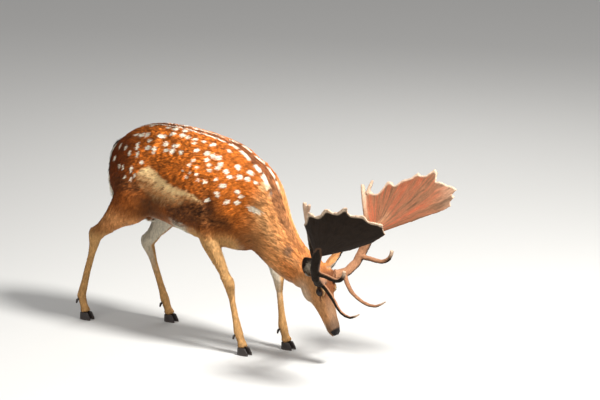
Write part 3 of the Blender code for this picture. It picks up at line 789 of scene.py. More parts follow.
def face_tone(shades, points, normals, ragged, mottle):
    """Tan cheeks, a dark forehead and bridge, a grey muzzle, pale lips and dark lids."""
    u, _, w = on_head(points).T
    face = Coat(shades, "tan", 0.72, 1 + 0.14 * mottle)
    face.lay("grey", 0.20 + 0.12 * ragged)
    front = ramp(0.15, 0.75, normals @ HEAD_AXES[2])
    face.lay("dark_rufous", 0.75 * front * ramp(0.10, 0.0, u), 1.25)
    face.lay("grey", 0.65 * front * ramp(0.0, 0.09, u))
    jaw = ramp(-0.034, -0.072, w + 0.25 * np.clip(u, 0, 0.2) + 0.006 * ragged)
    face.lay("pale", 0.42 * jaw * ramp(-0.09, 0.0, u))
    face.lay("grey", 0.8 * ramp(0.095, 0.155, u) * ramp(-0.046, -0.030, w), 0.50)
    face.lay("white", 0.85 * ramp(0.120, 0.150, u) * ramp(-0.034, -0.041, w), 0.85)
    lids = np.minimum.reduce([opening_of(points, side, sign)[0] for side, sign in SIDES])
    face.lay("cream", 0.40 * bump_at(lids, 1.95, 0.26), 0.85)
    face.lay("black", 0.85 * ramp(1.55, 1.25, lids))
    return face.tone


def head_marked(coat, points, normals, part, ragged, mottle):
    """Face, ears and the grey patch behind each ear."""
    u, v, _ = on_head(points).T
    coat.tone = blend(coat.tone, face_tone(coat.shades, points, normals, ragged, mottle),
                      part["head"] * ramp(-0.115, -0.060, u + 0.01 * ragged))
    # Grey smudge on the neck behind the ear
    body = on_body(points)
    smudge = np.hypot((body[:, 0] - 0.684) / 0.020, (body[:, 2] - 0.455) / 0.030)
    coat.lay("grey", 0.75 * ramp(1.35, 0.4, smudge + 0.3 * mottle) * part["neck"], 0.55)
    # Ears: tan outside with dark rims, black within over pale hair near the root
    for side, sign in SIDES:
        own = part["ear"] * (np.sign(v) == sign)
        inner, tip = ear_places(points, normals, side, sign)
        coat.lay("tan", own, 0.78, 1 + 0.15 * mottle)
        coat.lay("dark_rufous", own * 0.45 * ramp(0.2, 0.7, tip) * (1 - inner))
        coat.lay("black", own * inner, 1.6)
        pale = inner * held(ramp(0.60, 0.20, tip) + 0.8 * mottle * ramp(1.0, 0.3, tip))
        coat.lay("pale", own * 0.9 * pale, 0.70)
        coat.lay("black", own * 0.85 * ramp(0.88, 0.98, tip))
        root = end_of(f"ear_{side}", BROW)
        cup = ramp(0.027, 0.014, gaps_to(root, points)) * part["head"] * inner
        coat.lay("pale", 0.8 * cup, 0.45)


def ear_axes(sign):
    """The ear's aim from root to tip, and the way its mouth opens."""
    aim = Vector((-0.40, sign * 0.76, 0.50)).normalized()
    mouth = square_to(aim, Vector((0.80, sign * 0.25, 0.45)))
    return np.array(aim) @ HEAD_AXES, np.array(mouth) @ HEAD_AXES


def ear_places(points, normals, side, sign):
    """How far each point lies inside the ear's cup, and its way from root to tip."""
    aim, mouth = ear_axes(sign)
    way = corners_of(f"ear_{side}") @ aim
    tip = (points @ aim - way.min()) / (way.max() - way.min())
    return ramp(-0.10, 0.35, normals @ mouth), tip


# ---------------------------------------------------------------- skin

# Relief of the flesh: place from the hips, reach along the body, across and up, height
FORMS = (
    ((0.400, 0.110, 0.660), (0.050, 0.08, 0.100), 0.0040),      # shoulder
    ((0.338, 0.130, 0.640), (0.016, 0.08, 0.085), -0.0050),     # crease behind it
    ((0.330, 0.120, 0.545), (0.045, 0.08, 0.020), -0.0035),     # elbow fold
    ((0.455, 0.090, 0.560), (0.030, 0.08, 0.050), -0.0030),     # before the shoulder
    ((0.040, 0.120, 0.700), (0.040, 0.08, 0.045), -0.0055),     # hollow of the flank
    ((0.020, 0.085, 0.820), (0.032, 0.05, 0.028), 0.0045),      # point of the hip
    ((-0.100, 0.125, 0.660), (0.060, 0.08, 0.090), 0.0040),     # thigh
    ((-0.195, 0.090, 0.700), (0.020, 0.05, 0.080), -0.0035),    # behind it
    ((0.035, 0.120, 0.580), (0.030, 0.08, 0.035), 0.0045),      # stifle
    ((0.560, 0.060, 0.610), (0.045, 0.06, 0.030), -0.0030),     # groove of the neck
    ((0.500, 0.050, 0.480), (0.040, 0.06, 0.040), 0.0030),      # breast
)
RIB_SPACING = 0.034
BALL_RADIUS = EYE_RADIUS * 0.97
EYE_SINK = 0.0012            # of the ball behind the middle of its node
ALMOND = 1.65                # power of the curve of the lids: 2 would be an ellipse
LID_FLOOR = 0.0014           # least skin over the ball outside the opening
TUCK = 0.0042                # how deep the skin lies under the ball inside it


def near_nodes(places, nodes):
    """The index of the node nearest to each place."""
    corners, faces, owners = [], [], []
    for index, node in enumerate(nodes):
        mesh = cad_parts[node].data
        start = len(corners)
        corners += points_of(mesh).tolist()
        faces += [[start + corner for corner in polygon.vertices] for polygon in mesh.polygons]
        owners += [index] * len(mesh.polygons)
    tree = BVHTree.FromPolygons(corners, faces)
    return np.array([owners[tree.find_nearest(place)[2]] for place in places.tolist()])


def by_region(node, column):
    """A column of the table of regions, read for each point's node."""
    return np.array([REGIONS[region_of(name)][column] for name in FLESH])[node]


def on_node(node, name):
    """Whether each point belongs to a node of the flesh."""
    return node == FLESH.index(name)


def relief(points, normals):
    """Muscles, hollows and folds of the body, and ribs, as a height at each point."""
    body = on_body(points)
    side = np.abs(body[:, 1])
    height = np.zeros(len(points))
    for place, reach, rise in FORMS:
        away = [(values - centre) / width for values, centre, width in
                zip((body[:, 0], side, body[:, 2]), place, reach)]
        height += rise * np.exp(-sum(share ** 2 for share in away))
    ribs = bump_at(body[:, 0], 0.20, 0.09) * bump_at(body[:, 2], 0.68, 0.07)
    lean = body[:, 0] + 0.35 * (0.9 - body[:, 2])
    height += 0.0009 * ribs * np.cos(lean * 2 * math.pi / RIB_SPACING) * np.abs(normals[:, 1])
    clumps = 0.0008 * cloud(points, 0.0095, 2) * ramp(0.30, 0.50, body[:, 2])
    return height + 0.0007 * cloud(points, 0.035, 5) + clumps


def eye_frame(side, sign):
    """The middle of the eyeball, its gaze, the line through its corners, and upward."""
    gaze = np.array((0.16, sign * 0.93, 0.33)) @ HEAD_AXES
    gaze /= np.linalg.norm(gaze)
    level = np.array((1.0, 0, -0.16)) @ HEAD_AXES
    level -= level.dot(gaze) * gaze
    level /= np.linalg.norm(level)
    high = np.cross(gaze, level) * sign
    if high.dot(HEAD_AXES[2]) < 0:
        high = -high
    return np.array(middle(f"eye_{side}")) - EYE_SINK * gaze, gaze, level, high


def opening_of(points, side, sign):
    """How far out of the eye's almond each point lies, with 1 at its edge, and its offset
    and distance from the middle of the ball."""
    centre, gaze, level, high = eye_frame(side, sign)
    wide, above, below = sizes().eye_opening
    offset = points - centre
    along, up = offset @ level, offset @ high
    tall = np.where(up > 0, above, below)
    outness = ((np.abs(along) / wide) ** ALMOND
               + (np.abs(up) / tall) ** ALMOND) ** (1 / ALMOND)
    outness = np.where(offset @ gaze > 0, outness, 9.0)
    return outness, offset, np.linalg.norm(offset, axis=1)


def shape_lids(points):
    """Lids that follow the ball, open in an almond with the skin tucked in behind it."""
    bare = np.zeros(len(points))
    for side, sign in SIDES:
        outness, offset, reach = opening_of(points, side, sign)
        near = reach < 0.036
        over = BALL_RADIUS + sizes().lid
        hold = ramp(2.0, 1.12, outness) * near
        swell = 0.0012 * bump_at(outness, 1.30, 0.16) * hold
        wanted = reach + (over - reach) * hold + swell
        crease = -0.0013 * bump_at(outness, 1.62, 0.12) * near
        inside = ramp(1.0, 0.93, outness) * near
        covered = np.maximum(wanted + crease, BALL_RADIUS + LID_FLOOR)
        wanted = np.where(outness > 1.0, covered, wanted)
        wanted += (BALL_RADIUS - TUCK - wanted) * inside
        scale = np.where(near, wanted / np.maximum(reach, 1e-6), 1.0)
        points = points + offset * (scale - 1)[:, None]
        bare = np.maximum(bare, ramp(1.22, 1.10, outness) * near)
    return points, bare


# The line of the mouth: ways towards the nose, then places out of the face
MOUTH_LINE = ((0.110, 0.135, 0.160, 0.180, 0.195), (-0.050, -0.0445, -0.0385, -0.034, -0.032))


def shape_muzzle(points, normals):
    """Tear pits, nostrils, nose pad and the line of the mouth."""
    u, v, w = on_head(points).T
    width = np.abs(v)
    # Tear pit: a slit ahead of the inner corner of the eye
    way = held((u - 0.021) / 0.019)
    gap = np.hypot(u - (0.021 + 0.019 * way), w - (-0.007 - 0.008 * way))
    beside = width > 0.02
    push = -0.0038 * bump_at(gap, 0, 0.0026) * beside
    push += 0.0009 * bump_at(gap, 0.0055, 0.0020) * beside
    # Mouth, from the corner forward to the lips
    line = np.interp(u, *MOUTH_LINE)
    along = ramp(0.108, 0.118, u)
    for place, height, reach in ((0, -0.0026, 0.0017), (0.0045, 0.0011, 0.0030),
                                 (-0.0045, 0.0008, 0.0030)):
        push += height * bump_at(w, line + place, reach) * along
    # Nostrils: commas that open forward and outward
    middle_of_hole = np.sign(v) * (0.0118 + 0.10 * (w + 0.014))
    hole = np.hypot((v - middle_of_hole) / 0.0042, (w + 0.0135) / 0.0066)
    hole = np.hypot(hole, (u - 0.186) / 0.0135)
    push -= 0.0075 * ramp(1.15, 0.45, hole)
    push += 0.0010 * bump_at(hole, 1.35, 0.25)
    pad = ramp(0.160, 0.170, u + 0.25 * (w + 0.012)) * ramp(line + 0.008, line + 0.013, w)
    pad *= ramp(0.0265, 0.0235, width)
    push -= 0.0010 * (bump_at(v, 0, 0.0009) * ramp(0.172, 0.182, u))
    bare = np.maximum.reduce([pad, 0.9 * bump_at(w, line, 0.0030) * along,
                              ramp(1.3, 0.9, hole), 0.7 * ramp(0.0026, 0.0008, gap) * beside])
    return points + normals * push[:, None], bare


def shape_ears(points, normals, node):
    """Folds along the inside of the ears, dying out towards the tip."""
    push = np.zeros(len(points))
    for side, sign in SIDES:
        own = on_node(node, f"ear_{side}")
        inner, tip = ear_places(points, normals, side, sign)
        aim, mouth = ear_axes(sign)
        across = (points - points[own].mean(axis=0)) @ np.cross(aim, mouth)
        folds = np.cos(across / 0.0060 + 1.2 * tip) * (1 - tip)
        push += own * inner * 0.0008 * folds
    return points + normals * push[:, None]


def lie_of_coat(points, normals, node, web):
    """Unit directions along the skin in which the hair lies."""
    x, _, z = on_body(points).T
    zero = np.zeros(len(x))
    lie = np.stack([-np.ones(len(x)), zero, -0.22 - 0.30 * ramp(0.85, 0.6, z)], axis=1)
    rump = ramp(-0.06, -0.22, x)[:, None]
    lie = lie * (1 - rump) + np.array((-0.45, 0, -1.0)) * rump
    for index, name in enumerate(FLESH):
        own = node == index
        if name == "neck":
            forward = ramp(0.44, 0.58, x[own])[:, None]
            lie[own] = lie[own] * (1 - forward) + np.array((-0.80, 0, 0.42)) * forward
        elif name == "head":
            lie[own] = -HEAD_AXES[0] + 0.12 * HEAD_AXES[2]
        elif name.startswith("ear"):
            lie[own] = ear_axes(1 if name.endswith("left") else -1)[0]
        elif name == "tail":
            lie[own] = (-0.05, 0, -1)
        elif "leg" in name:
            high = ramp(0.42, 0.58, z[own])[:, None]
            lie[own] = np.array((-0.18, 0, -1)) * (1 - high) + np.array((-0.55, 0, -0.75)) * high
    lie = web.smooth(unit(lie), 24)
    lie[:, 1] += 0.10 * cloud(points, 0.06, 7)
    lie[:, 2] += 0.12 * cloud(points, 0.05, 8)
    return laid_flat(lie, normals)


# How readily each region gives way when the facets are smoothed off
ROUNDING = {"trunk": 0.5, "neck": 0.5, "upper": 0.26, "lower": 0.07, "head": 0.07,
            "ear": 0.03, "tail": 0.12}


def muscled(mesh, node, web):
    """Round the facets off, then draw the surface in by the coat's depth."""
    points = points_of(mesh)
    share = np.array([ROUNDING[region_of(name)] for name in FLESH])[node]
    share = web.smooth(share, 10)[:, None]
    rounded = web.smooth(points, 150, share)
    move_points(mesh, rounded)
    normals = web.soft_normals(mesh)
    sunk = web.smooth(np.sum((points - rounded) * normals, axis=1), 14)
    depth = web.smooth(by_region(node, 0), 14)
    height = points[:, 2]
    depth *= ramp(0.030, 0.050, height)
    lift = sunk - depth + relief(rounded, normals) * ramp(0.30, 0.45, height)
    return rounded + normals * lift[:, None]


def make_skin():
    """One skin for all the flesh, with its markings and the lie of its hair."""
    skin = fused("skin", FLESH + EYES, sizes().grain)
    mesh = skin.data
    for reach, muzzle in ((0.034, 0.100), (0.029, 0.150)):
        points = points_of(mesh)
        chosen = on_head(points)[:, 0] > muzzle
        chosen &= gaps_to(BROW, points) < 0.30
        for eye in EYES:
            chosen |= gaps_to(middle(eye), points) < reach
        refine(mesh, chosen)
    web = Web(mesh)
    node = near_nodes(points_of(mesh), FLESH)
    move_points(mesh, muscled(mesh, node, web))
    points, lids = shape_lids(points_of(mesh))
    move_points(mesh, points)
    points, muzzle = shape_muzzle(points, web.soft_normals(mesh))
    points = shape_ears(points, web.soft_normals(mesh), node)
    points = web.smooth(points, 2, 0.3)
    points[:, 2] = np.maximum(points[:, 2], 0.0005)
    move_points(mesh, points)

    normals = normals_of(mesh)
    shades = colours()
    bare = held(np.maximum(lids, muzzle)) * on_node(node, "head")
    part = parts_of(node, web)
    lie = lie_of_coat(points, normals, node, web)
    hair = blend(markings(points, normals, lie, part, shades), shades["bare"], bare)
    store_colour(mesh, "hair", hair)
    store_value(mesh, "bare", bare)
    store_value(mesh, "node", node, "INT")
    for name, share in part.items():
        store_value(mesh, "of_" + name, share)
    store_value(mesh, "upright", np.abs(lie[:, 2]))
    store_vector(mesh, "lie", lie)
    return seat(skin, skin_material(), "coat", *FLESH)


def skin_material():
    """Short hair seen as fine streaks, with the nose, lips and lids bare and moist."""
    shop = Shop("short coat", roughness=0.62, specular_ior_level=0.16)
    bare = shop.value("bare")
    upright = shop.value("upright")
    level = shop.noise(60.0, 4.0, (5.0, 22.0, 22.0))
    hanging = shop.noise(60.0, 4.0, (22.0, 22.0, 4.0))
    streaks = upright * hanging + (1 - upright) * level
    grain = shop.noise(900.0, 2.0)
    tone = (streaks * 0.5 + 0.75) * (1 - bare) + bare
    shade = shop.toned(tone)
    rough = 0.66 - bare * 0.30 + (grain - 0.5) * bare * 0.2
    height = streaks * (1 - bare) * 0.8 + grain * bare
    return shop.finish(base_color=shade, roughness=rough, normal=shop.bump(height, 0.0008, 0.7))


# ---------------------------------------------------------------- coat

class Ground:
    """A surface that tufts root in, with what varies over it."""

    def __init__(self, piece):
        mesh = piece.data
        self.points, self.normals = points_of(mesh), normals_of(mesh)
        self.triangles = triangles_of(mesh)
        self.values = {}
        for layer in mesh.attributes:
            if layer.domain == "POINT" and layer.data_type in ("FLOAT", "INT"):
                self.values[layer.name] = read(layer.data, "value", 1)
            elif layer.domain == "POINT" and layer.name == "lie":
                self.values["lie"] = read(layer.data, "vector", 3)
        corners = self.points[self.triangles]
        cross = np.cross(corners[:, 1] - corners[:, 0], corners[:, 2] - corners[:, 0])
        self.areas = np.linalg.norm(cross, axis=1) / 2

    def scatter(self, crowd, dice):
        """Roots spread evenly over the triangles, by tufts for each square metre."""
        share = self.areas * crowd[self.triangles].mean(axis=1)
        total = np.cumsum(share)
        count = int(total[-1])
        picks = (np.arange(count) + dice.random(count)) * total[-1] / max(count, 1)
        triangles = self.triangles[np.minimum(np.searchsorted(total, picks), len(share) - 1)]
        first, second = dice.random((2, count))
        folded = first + second > 1
        first[folded], second[folded] = 1 - first[folded], 1 - second[folded]
        return triangles, np.stack([1 - first - second, first, second], axis=1)

    def at(self, roots, values):
        triangles, shares = roots
        if values.ndim == 1:
            return np.sum(values[triangles] * shares, axis=1)
        return np.einsum("ijk,ij->ik", values[triangles], shares)


class Chart:
    """A coarse copy of a surface, laid out flat patch by patch."""

    def __init__(self, piece, patch, share):
        copy = add_object("chart", piece.data.copy())
        thinning = copy.modifiers.new("thin", "DECIMATE")
        thinning.ratio = share
        mesh = evaluated(copy)
        bpy.data.objects.remove(copy)
        self.flat = add_object("flat", mesh)
        corners, faces = points_of(mesh), triangles_of(mesh)
        whole = triangles_of(piece.data)
        tree = BVHTree.FromPolygons(points_of(piece.data).tolist(), whole.tolist())
        self.patch = np.array([patch[whole[tree.find_nearest(spot)[2]][0]]
                               for spot in corners[faces].mean(axis=1).tolist()])
        self.corners, self.faces = corners, faces

    def map_of(self, patch):
        """The tree, the corners and the flat layout of the faces of one patch."""
        own = np.flatnonzero(self.patch == patch)
        mesh = bpy.data.meshes.new("leaf")
        mesh.from_pydata(self.corners.tolist(), [], self.faces[own].tolist())
        leaf = add_object("leaf", mesh)
        bpy.context.view_layer.objects.active = leaf
        leaf.select_set(True)
        mesh.uv_layers.new(name="OFBake")
        bpy.ops.object.mode_set(mode="EDIT")
        bpy.ops.mesh.select_all(action="SELECT")
        bpy.ops.uv.smart_project(angle_limit=math.radians(66), island_margin=0.003)
        bpy.ops.object.mode_set(mode="OBJECT")
        flat = read(mesh.uv_layers["OFBake"].data, "uv", 2).reshape(-1, 3, 2)
        tree = BVHTree.FromPolygons(self.corners.tolist(), self.faces[own].tolist())
        corners = self.corners[self.faces[own]]
        bpy.data.objects.remove(leaf)
        return tree, corners, flat

    def places(self, patch, roots):
        """Where on the flat layout each root lies."""
        tree, corners, flat = self.map_of(patch)
        hits = [tree.find_nearest(root) for root in roots.tolist()]
        index = np.array([hit[2] for hit in hits])
        spot = np.array([tuple(hit[0]) for hit in hits])
        one, two, three = (corners[index, corner] for corner in range(3))
        side, other, reach = two - one, three - one, spot - one
        a, b, c = ((side * side).sum(1), (side * other).sum(1), (other * other).sum(1))
        d, e = (reach * side).sum(1), (reach * other).sum(1)
        whole = np.maximum(a * c - b * b, 1e-18)
        shares = np.stack([(c * d - b * e) / whole, (a * e - b * d) / whole], axis=1)
        shares = held(np.c_[1 - shares.sum(axis=1), shares])
        shares /= shares.sum(axis=1, keepdims=True)
        return np.einsum("ijk,ij->ik", flat[index], shares)

    def discard(self):
        bpy.data.objects.remove(self.flat)


# A tuft: three corners at its root, three at its bend and one at its tip
TUFT_FACES = np.array([(0, 2, 1), (0, 1, 4), (0, 4, 3), (1, 2, 5), (1, 5, 4), (2, 0, 3),
                       (2, 3, 5), (3, 4, 6), (4, 5, 6), (5, 3, 6)])
TUFT_FLAT = np.array([(-0.5, -0.5), (0.5, -0.5), (0, -0.35), (-0.4, 0.05), (0.4, 0.05),
                      (0, 0.2), (0, 0.5)])
TUFT_LEAN = np.array([-0.4, 0.4, 0, -0.4, 0.4, 0, 0])     # of the shading, to each side
PATCH_SIZE = 0.003
# Painted shade at the root of each tuft and painted light at its tip, given from root to tip
HAIR_PAINTED_SHADE = (0.78, 0.78, 0.82, 0.98, 0.98, 1.02, 1.12)     # from root to tip
FUZZ_PAINTED_SHADE = (0.96, 0.96, 0.98, 1.04, 1.04, 1.06, 1.14)


def tufts(name, roots, normals, lies, sizes_of, tones, flat, dice, material, shade=HAIR_PAINTED_SHADE):
    """One mesh of closed, tapered tufts, each bent along the way it lies."""
    length, width, lift = sizes_of
    count = len(roots)
    wander = dice.normal(0, 0.16, count)
    across = np.cross(normals, lies)
    lies = unit(lies + across * wander[:, None])
    across = unit(np.cross(normals, lies))
    length = length * dice.uniform(0.72, 1.18, count)
    lift = lift * dice.uniform(0.6, 1.35, count)
    rise, drop = np.sin(lift), np.sin(lift * 0.25)
    reach = np.cos(lift)
    bend = roots + (lies * reach[:, None] + normals * rise[:, None]) * (length * 0.5)[:, None]
    tip = bend + (lies + normals * drop[:, None]) * (length * 0.5)[:, None]
    tip += across * (wander * length * 0.15)[:, None]
    half, thick = (width * 0.5)[:, None], (width * (0.20 + 0.65 * np.minimum(lift, 0.22)))[:, None]
    base = roots - normals * (0.0006 + 0.4 * thick)
    corners = np.stack([
        base - across * half, base + across * half, base + normals * thick,
        bend - across * half * 0.85, bend + across * half * 0.85, bend + normals * thick * 0.9,
        tip], axis=1)
    faces = (TUFT_FACES[None] + 7 * np.arange(count)[:, None, None]).reshape(-1, 3)
    mesh = bpy.data.meshes.new(name)
    mesh.vertices.add(7 * count)
    mesh.vertices.foreach_set("co", corners.astype(np.float32).ravel())
    mesh.loops.add(faces.size)
    mesh.loops.foreach_set("vertex_index", faces.astype(np.int32).ravel())
    mesh.polygons.add(len(faces))
    mesh.polygons.foreach_set("loop_start", np.arange(0, faces.size, 3, dtype=np.int32))
    mesh.update()
    speck = dice.normal(1, 0.09, count)
    # Pale hair takes less of the painted shade at the root
    deep = 1 - 0.8 * held(tones[:, 2:] / 0.6)
    light = (1 + (np.array(shade)[None] - 1) * deep) * speck[:, None]
    hair = tones[:, None] * light[..., None]
    store_colour(mesh, "hair", hair.reshape(-1, 3))
    layer = mesh.uv_layers.new(name="OFBake")
    spots = np.clip(flat, 0.002, 0.998)[:, None] + PATCH_SIZE * TUFT_FLAT[None]
    layer.data.foreach_set("uv", spots.reshape(-1, 2)[faces.ravel()].astype(np.float32).ravel())
    mesh.validate()
    piece = seat(add_object(name, mesh), material, "coat")
    rounded = unit(normals[:, None] + across[:, None] * TUFT_LEAN[None, :, None])
    mesh.normals_split_custom_set_from_vertices(rounded.reshape(-1, 3).tolist())
    return piece


def coat_material():
    """Glossy summer hair, each tuft with its own tone and fine strands."""
    shop = Shop("hair tufts", roughness=0.58, specular_ior_level=0.12)
    strands = shop.noise(260.0, 3.0)
    tone = strands * 0.36 + 0.82
    shade = shop.toned(tone)
    return shop.finish(base_color=shade, roughness=0.52 + strands * 0.18)


# Pieces of the coat, by the nodes under them; the barrel is halved at this place
COAT_PATCHES = {
    "coat_barrel_left": ("trunk", 1, 1), "coat_barrel_right": ("trunk", -1, 1),
    "coat_rump_left": ("trunk", 1, -1), "coat_rump_right": ("trunk", -1, -1),
    "coat_neck_left": ("neck", 1, 0), "coat_neck_right": ("neck", -1, 0),
    "coat_head": ("head", 0, 0), "coat_ears": ("ear", 0, 0), "coat_tail": ("tail", 0, 0),
    "coat_forelegs_upper": ("foreleg_upper", 0, 0), "coat_forelegs_lower": ("foreleg_lower", 0, 0),
    "coat_hindlegs_upper": ("hindleg_upper", 0, 0), "coat_hindlegs_lower": ("hindleg_lower", 0, 0),
}
HALVING = 0.12               # ahead of the hips
MOST_TRIANGLES = 199_000     # in one piece of the coat
TO_SQUARE_METRES = 1e4       # from tufts on a square centimetre
SKIN_CHART_SHARE = 0.035     # of the skin's faces that its flat layout keeps
FUZZ_CHART_SHARE = 0.06


def patches_of(points, node):
    """The number of the coat's piece over each point."""
    x, y, _ = on_body(points).T
    family = np.array([name.replace("_left", "").replace("_right", "") for name in FLESH])[node]
    patch = np.full(len(points), -1)
    for index, (kin, side, end) in enumerate(COAT_PATCHES.values()):
        own = family == kin
        if side:
            own &= np.sign(y + 1e-9) == side
        if end:
            own &= np.sign(x - HALVING + 1e-9) == end
        patch[own] = index
    return patch


def make_coat():
    """Tufts over the whole skin, piece by piece."""
    skin = bpy.data.objects["skin"]
    ground = Ground(skin)
    web = Web(skin.data)
    node = ground.values["node"].astype(int)
    shades = colours()
    dice = np.random.default_rng(COAT_SEED)
    patch = patches_of(ground.points, node)
    chart = Chart(skin, patch, SKIN_CHART_SHARE)
    material = coat_material()
    hairs = [web.smooth(by_region(node, column), 10) for column in range(1, 5)]
    hairs[0] = hairs[0] * sizes().hair_length
    hairs = fitted_to_parts(ground.points, node, *hairs)
    bare = web.smooth(ground.values["bare"], 1)
    for index, piece in enumerate(COAT_PATCHES):
        own = (patch == index).astype(float)
        crowd = hairs[3] * TO_SQUARE_METRES * own * (bare < 0.35) * sizes().hair_count
        roots = ground.scatter(crowd, dice)
        places, normals = ground.at(roots, ground.points), unit(ground.at(roots, ground.normals))
        lies = unit(ground.at(roots, ground.values["lie"]))
        length, width, lift = (ground.at(roots, hairs[column]) for column in range(3))
        part = {name: ground.at(roots, ground.values["of_" + name]) for name in PARTS}
        tones = markings(places + lies * (0.45 * length)[:, None], normals, lies, part, shades)
        if len(places) * len(TUFT_FACES) > MOST_TRIANGLES:
            raise RuntimeError(f"{piece} has too many tufts: {len(places)}")
        shade = FUZZ_PAINTED_SHADE if piece in ("coat_head", "coat_ears") else HAIR_PAINTED_SHADE
        tufts(piece, places, normals, lies, (length, width, lift), tones,
              chart.places(index, places), dice, material, shade)
    chart.discard()


def fitted_to_parts(points, node, length, width, lift, crowd):
    """Shorter hair on the face and the feet, longer at the tail's tip and the sheath."""
    u = on_head(points)[:, 0]
    face = ramp(0.02, 0.16, u) * on_node(node, "head")
    length = length * (1 - 0.40 * face)
    width = width * (1 - 0.38 * face)
    lift = lift * (1 - 0.60 * face)
    crowd = crowd * (1 + 0.9 * face)
    x, _, z = on_body(points).T
    foot = ramp(0.12, 0.04, z)
    length = length * (1 - 0.15 * foot)
    length = length * (1 + 0.5 * on_node(node, "tail") * ramp(0.70, 0.56, z))
    sheath = bump_at(x, -0.090, 0.030) * bump_at(z, 0.452, 0.020)
    length = length * (1 + 0.6 * sheath)
    lift = lift * (1 + 0.6 * sheath)
    return length, width, lift, crowd


# ---------------------------------------------------------------- eyes

def make_eyes():
    """Dark, wet eyes with a level pupil and a cornea that stands a little proud."""
    material = eye_material()
    for side, sign in SIDES:
        centre, gaze, level, high = eye_frame(side, sign)
        shape = bmesh.new()
        bmesh.ops.create_uvsphere(shape, u_segments=64, v_segments=40, radius=BALL_RADIUS)
        mesh = mesh_from(f"eyeball_{side}", shape)
        points = points_of(mesh) @ np.array([level, high, gaze])
        facing = points @ gaze / BALL_RADIUS
        cornea = ramp(0.72, 0.92, facing)
        points *= (1 + 0.045 * cornea)[:, None]
        move_points(mesh, points + centre)
        across, up = points @ level, points @ high
        behind = 9 * (facing < 0)
        pupil = np.hypot(across / 0.0062, up / 0.0031) + behind
        iris = np.hypot(across, up) / 0.0112 + behind
        store_value(mesh, "pupil", ramp(1.1, 0.85, pupil))
        store_value(mesh, "iris", ramp(1.06, 0.94, iris))
        eye = add_object(f"eyeball_{side}", mesh)
        seat(eye, material, "eye", f"eye_{side}")


def eye_material():
    """Brown iris, black pupil, under a clear wet coat."""
    shop = Shop("eye", roughness=0.3, specular_ior_level=0.0, coat_weight=1.0,
                coat_roughness=0.04, coat_ior=1.38)
    streaks = shop.noise(700.0, 3.0)
    iris = shop.mix(streaks, (0.012, 0.0055, 0.003, 1), (0.030, 0.013, 0.006, 1))
    white = shop.mix(shop.value("iris"), (0.045, 0.024, 0.016, 1), iris)
    shade = shop.mix(shop.value("pupil"), white, (0.002, 0.0016, 0.002, 1))
    return shop.finish(base_color=shade)


# ---------------------------------------------------------------- antlers

def antler_nodes(side):
    return [f"antler_{side}_{part}" for part in ("beam", "brow_tine", "trez_tine",
                                                 "back_tine", "palm")]


def own_ways(points):
    """The middle of some points, and the long, middle and short way of their spread."""
    centre = points.mean(axis=0)
    _, _, ways = np.linalg.svd(points - centre, full_matrices=False)
    return centre, ways


def palm_frame(side):
    """The palm's long way, its other way, and outward from its inner face, with its middle."""
    centre, (along, across, out) = own_ways(corners_of(f"antler_{side}_palm"))
    along, across = along * np.sign(along[0]), across * np.sign(across[2])
    out = out * np.sign(out[1]) * dict(SIDES)[side]
    return centre, along, across, out


def make_antlers():
    """Each antler in one velvet skin, with veins that spread over its palm, furrows down
    its beam and tines, and a burr round its base."""
    material = velvet_material()
    for side, _ in SIDES:
        nodes = antler_nodes(side)
        antler = fused(f"antler_{side}", nodes, ANTLER_GRAIN, 0.0002)
        mesh = antler.data
        web = Web(mesh)
        points = web.smooth(points_of(mesh), 6, 0.4)
        move_points(mesh, points)
        normals = web.soft_normals(mesh)
        node = near_nodes(points, nodes)
        centre, along, across, out = palm_frame(side)
        root = end_of(nodes[0], centre)
        reach = gaps_to(root, points)
        palm = web.smooth((node == nodes.index(f"antler_{side}_palm")).astype(float), 8)
        facing = normals @ out
        face = ramp(0.35, 0.75, np.abs(facing)) * palm
        turn, way = turn_round(points, node, nodes)
        lines = fan_lines(points, root, nodes[0], along, across)
        veins = 0.6 * cloud(lines, 0.0170, 3) + 0.8 * cloud(lines, 0.0082, 4)
        veins = veins * ramp(0.01, 0.07, reach)
        furrows = np.cos(7 * turn + 1.8 * cloud(points, 0.030, 5))
        beam_lines = np.stack([turn * 0.016, way * 0.12, 0 * way], 1)
        lines = np.where(node[:, None] == nodes.index(f"antler_{side}_palm"), lines, beam_lines)
        store_vector(mesh, "lines", lines)
        pearls = cloud(points, 0.0075, 5) + 0.6 * cloud(points * (1, 1, 0.35), 0.010, 6)
        rough = 0.55 * pearls + 0.35 * furrows
        height = sizes().ridge * (face * veins * 0.55 + (1 - palm) * rough)
        away = ramp(0.05, 0.12, reach)
        knob = ramp(0.2, 0.9, cloud(points, 0.013, 9)) * palm * (1 - face) * away
        # Rims of the palm, all but those facing down: partly pale fuzz, partly painted highlight
        edge = palm * (1 - face) * ramp(-0.5, 0.2, normals[:, 2]) * away
        edge = ramp(0.25, 0.60, np.maximum(web.smooth(edge, 70) * 3.0, edge))
        burr = burr_at(points, nodes[0])
        height = height + 0.0018 * knob - VELVET_DEPTH + burr * (0.0062 + 0.0022 * pearls)
        height = height + 0.0016 * edge
        move_points(mesh, points + normals * height[:, None])
        tips, trez_tip_shade = tips_of(points, nodes)
        streaks = 0.5 * cloud(lines, 0.0060, 21) + 0.8 * cloud(lines, 0.0150, 22)
        tone = velvet_tone(points, normals, facing, face, palm, streaks, reach, edge, tips, trez_tip_shade)
        store_colour(mesh, "hair", tone)
        store_value(mesh, "rim", np.maximum(edge, tips * (1 - palm)))
        seat(antler, material, "velvet", *nodes)


ANTLER_GRAIN = 0.0030        # spacing of the points of the antlers
VELVET_DEPTH = 0.0010        # of the skin under the tips of its fuzz
FAN_CENTRE = 0.085           # of the palm's veins, down the beam from the palm's root


